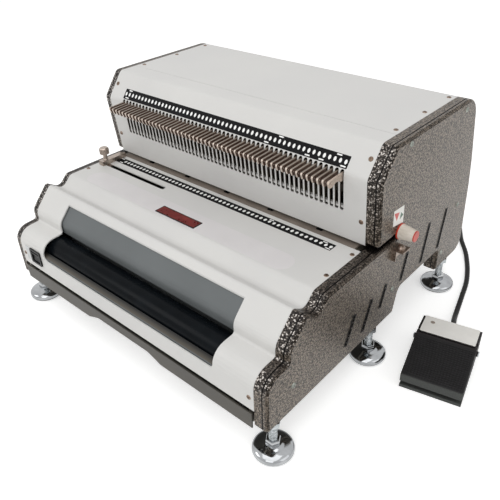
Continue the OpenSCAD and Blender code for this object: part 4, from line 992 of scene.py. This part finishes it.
def makeFeet(s):
    for name in feet:
        low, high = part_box(name)
        centre = footCentre(name)
        rim, top = (high[0] - low[0]) / 2 / mm, high[2] / mm
        stud = [(s["stud"], top - s["chamfer"]), (s["stud"] - s["chamfer"], top)]
        bm = bmesh.new()
        turned(bm, [(rim + r, z) for r, z in s["cup"]] + s["neck"] + stud, s["segments"], centre)
        turned(bm, s["collar"], s["sides"], centre)
        mesh = finishMesh(bm)
        for polygon in mesh.polygons:
            polygon.use_smooth = True
        mesh.set_sharp_from_angle(angle=math.radians(s["sharp"]))
        piece = addPiece(name + "_turned", mesh, brightChrome, name)
        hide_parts(name)


makeFeet(footSet)

# threads on the feet's studs, between the hex collar and the nut
threadSet = {"low": 18.3, "high": 37.6, "pitch": 1.5, "radius": 3.95, "ridge": 0.55}


def makeThreads(s):
    height = s["high"] - s["low"]
    values = {"Turns": height / s["pitch"], "Stud Radius": s["radius"] * mm, "Height": height * mm,
              "Ridge": s["ridge"] * mm, "Finish": zincPlate}
    for name in feet:
        mesh = bakeTree(studThread, values)
        mesh.transform(Matrix.Translation((*footCentre(name), s["low"] * mm)))
        addPiece(name + "_thread", mesh, zincPlate, name)


makeThreads(threadSet)
print("knurl and threads cut")

# pedal: white plate on its housing, pivot screws and a ribbed mat on the treadle; it is measured from its
# middle, and v runs from there to its rear
pedalSet = {"half": 45, "boss": 6, "height": 37, "slopeFrom": 18.5, "slopeRise": (-2, 26.5),
            "plateX": 30.5, "plateV": (12.8, 44.2), "plateCorner": 1.5, "plateThick": 0.6, "plateBevel": 0.2,
            "dot": (-20.5, 33.5, 2.6), "dotLift": 0.55, "dotThick": 0.1,
            "pivot": (13, 28), "pinReach": 35, "screw": 3.6,
            "treadFront": 20, "treadRun": 56, "treadRise": 17,
            "matX": 32.6, "matS": (0.6, 55.0), "matThick": 1.0, "matCorner": 2.0, "matBevel": 0.4,
            "ribPitch": 2.55, "ribRadius": 0.8, "ribMargin": 1.5, "ribEnd": 2.0}


def pedalFrame(s):
    turn = Matrix.Rotation(math.radians(pedalPlace["turn"]), 4, "Z")
    return Matrix.Translation(at(*pedalPlace["end"], 0)) @ turn @ shift(0, -(s["half"] + s["boss"]), 0)


def makePedalPlate(s):
    slope = Matrix.Rotation(math.atan2(*s["slopeRise"]), 4, "X")
    base = pedalFrame(s) @ shift(0, s["slopeFrom"], s["height"]) @ slope
    low, high = (v - s["slopeFrom"] for v in s["plateV"])
    outline = roundRect(-s["plateX"], s["plateX"], low, high, s["plateCorner"])
    plate = addPiece("pedalPlate", plateMesh(outline, s["plateThick"], base, s["plateBevel"]), plateWhite)
    x, v, radius = s["dot"]
    mark = plateMesh(disc(x, v - s["slopeFrom"], radius), s["dotThick"], base @ shift(0, 0, s["dotLift"]))
    return [plate, addPiece("pedalPlateDot", mark, satinNickel)]


def makePivotScrews(s):
    base = pedalFrame(s)
    spots = [(base @ Vector(inMetres((side * s["pinReach"], *s["pivot"]))),
              base.to_3x3() @ Vector((side, 0, 0))) for side in (-1, 1)]
    return bakeScrews("pedalScrews", spots, zincPlate, s["screw"])


def makeTreadMat(s):
    slope = Matrix.Rotation(math.atan2(s["treadRise"], s["treadRun"]), 4, "X")
    base = pedalFrame(s) @ shift(0, -s["half"], s["treadFront"]) @ slope
    low, high = s["matS"]
    outline = roundRect(-s["matX"], s["matX"], low, high, s["matCorner"])
    mat = plateMesh(outline, s["matThick"], base, s["matBevel"])
    count = int((high - low - 2 * s["ribMargin"]) / s["ribPitch"])
    values = {"Count": count, "Pitch": s["ribPitch"] * mm, "Rib Radius": s["ribRadius"] * mm,
              "Rib Length": 2 * (s["matX"] - s["ribEnd"]) * mm, "Finish": matRubber}
    ribs = bakeTree(matRibs, values)
    start = (low + high - (count - 1) * s["ribPitch"]) / 2
    ribs.transform(base @ shift(0, start, s["matThick"]))
    return addPiece("treadMat", joinMeshes([mat, ribs]), matRubber, "treadle")


pedalPieces = makePedalPlate(pedalSet) + [makePivotScrews(pedalSet), makeTreadMat(pedalSet)]
print("pedal dressed")

# floor, world and lamps, in metres
stageSet = {"floor": "#f4f4f3", "size": 12, "drop": 0.0002, "rough": 0.9, "world": 0.55, "white": 0.5,
            "aim": (0, 0, 0.12),
            "lamps": {"keyLamp": {"place": (-1.05, -1.25, 1.15), "size": 0.7, "power": 4.0},
                      "frontLamp": {"place": (0.75, -1.7, 1.35), "size": 1.1, "power": 6.5},
                      "fillLamp": {"place": (1.6, 0.1, 1.0), "size": 1.2, "power": 3.0},
                      "topLamp": {"place": (0.2, -0.55, 1.9), "size": 1.6, "power": 9.6}}}


# one value for what lights the object, another for what the camera, metal and glass see
def seenRays(add, lighting, seen):
    path = add("ShaderNodeLightPath").outputs
    rays = path["Is Camera Ray"]
    for kind in ("Is Glossy Ray", "Is Transmission Ray"):
        rays = add("ShaderNodeMath", [rays, path[kind]], operation="MAXIMUM")
    return add("ShaderNodeMapRange", [rays, 0.0, 1.0, lighting, seen])


def makeStage(s):
    bm = bmesh.new()
    bmesh.ops.create_grid(bm, x_segments=1, y_segments=1, size=s["size"])
    floor = addObject("floor", plainMesh(bm))
    floor.location.z = -s["drop"]
    material, add, shader = startMaterial("paleFloor")[:3]
    glow = seenRays(add, 0.0, s["white"])
    feed(shader, {"Base Color": linear(s["floor"]), "Roughness": s["rough"], "Specular IOR Level": 0.0,
                  "Emission Color": (1, 1, 1, 1), "Emission Strength": glow})
    floor.data.materials.append(material)
    world = bpy.data.worlds.new("studio")
    scene.world = world
    world.use_nodes = True
    world.node_tree.nodes.clear()
    add = partial(addNode, world.node_tree)
    light = seenRays(add, s["world"], 1.0)
    back = add("ShaderNodeBackground", {"Color": (1, 1, 1, 1), "Strength": light})
    add("ShaderNodeOutputWorld", {"Surface": back})
    for name, look in s["lamps"].items():
        data = bpy.data.lights.new(name, "AREA")
        data.energy = look["power"]
        data.size = look["size"]
        lamp = addObject(name, data)
        lamp.location = look["place"]
        lamp.rotation_mode = "QUATERNION"
        lamp.rotation_quaternion = (Vector(s["aim"]) - lamp.location).to_track_quat("-Z", "Y")


makeStage(stageSet)
print("stage lit")
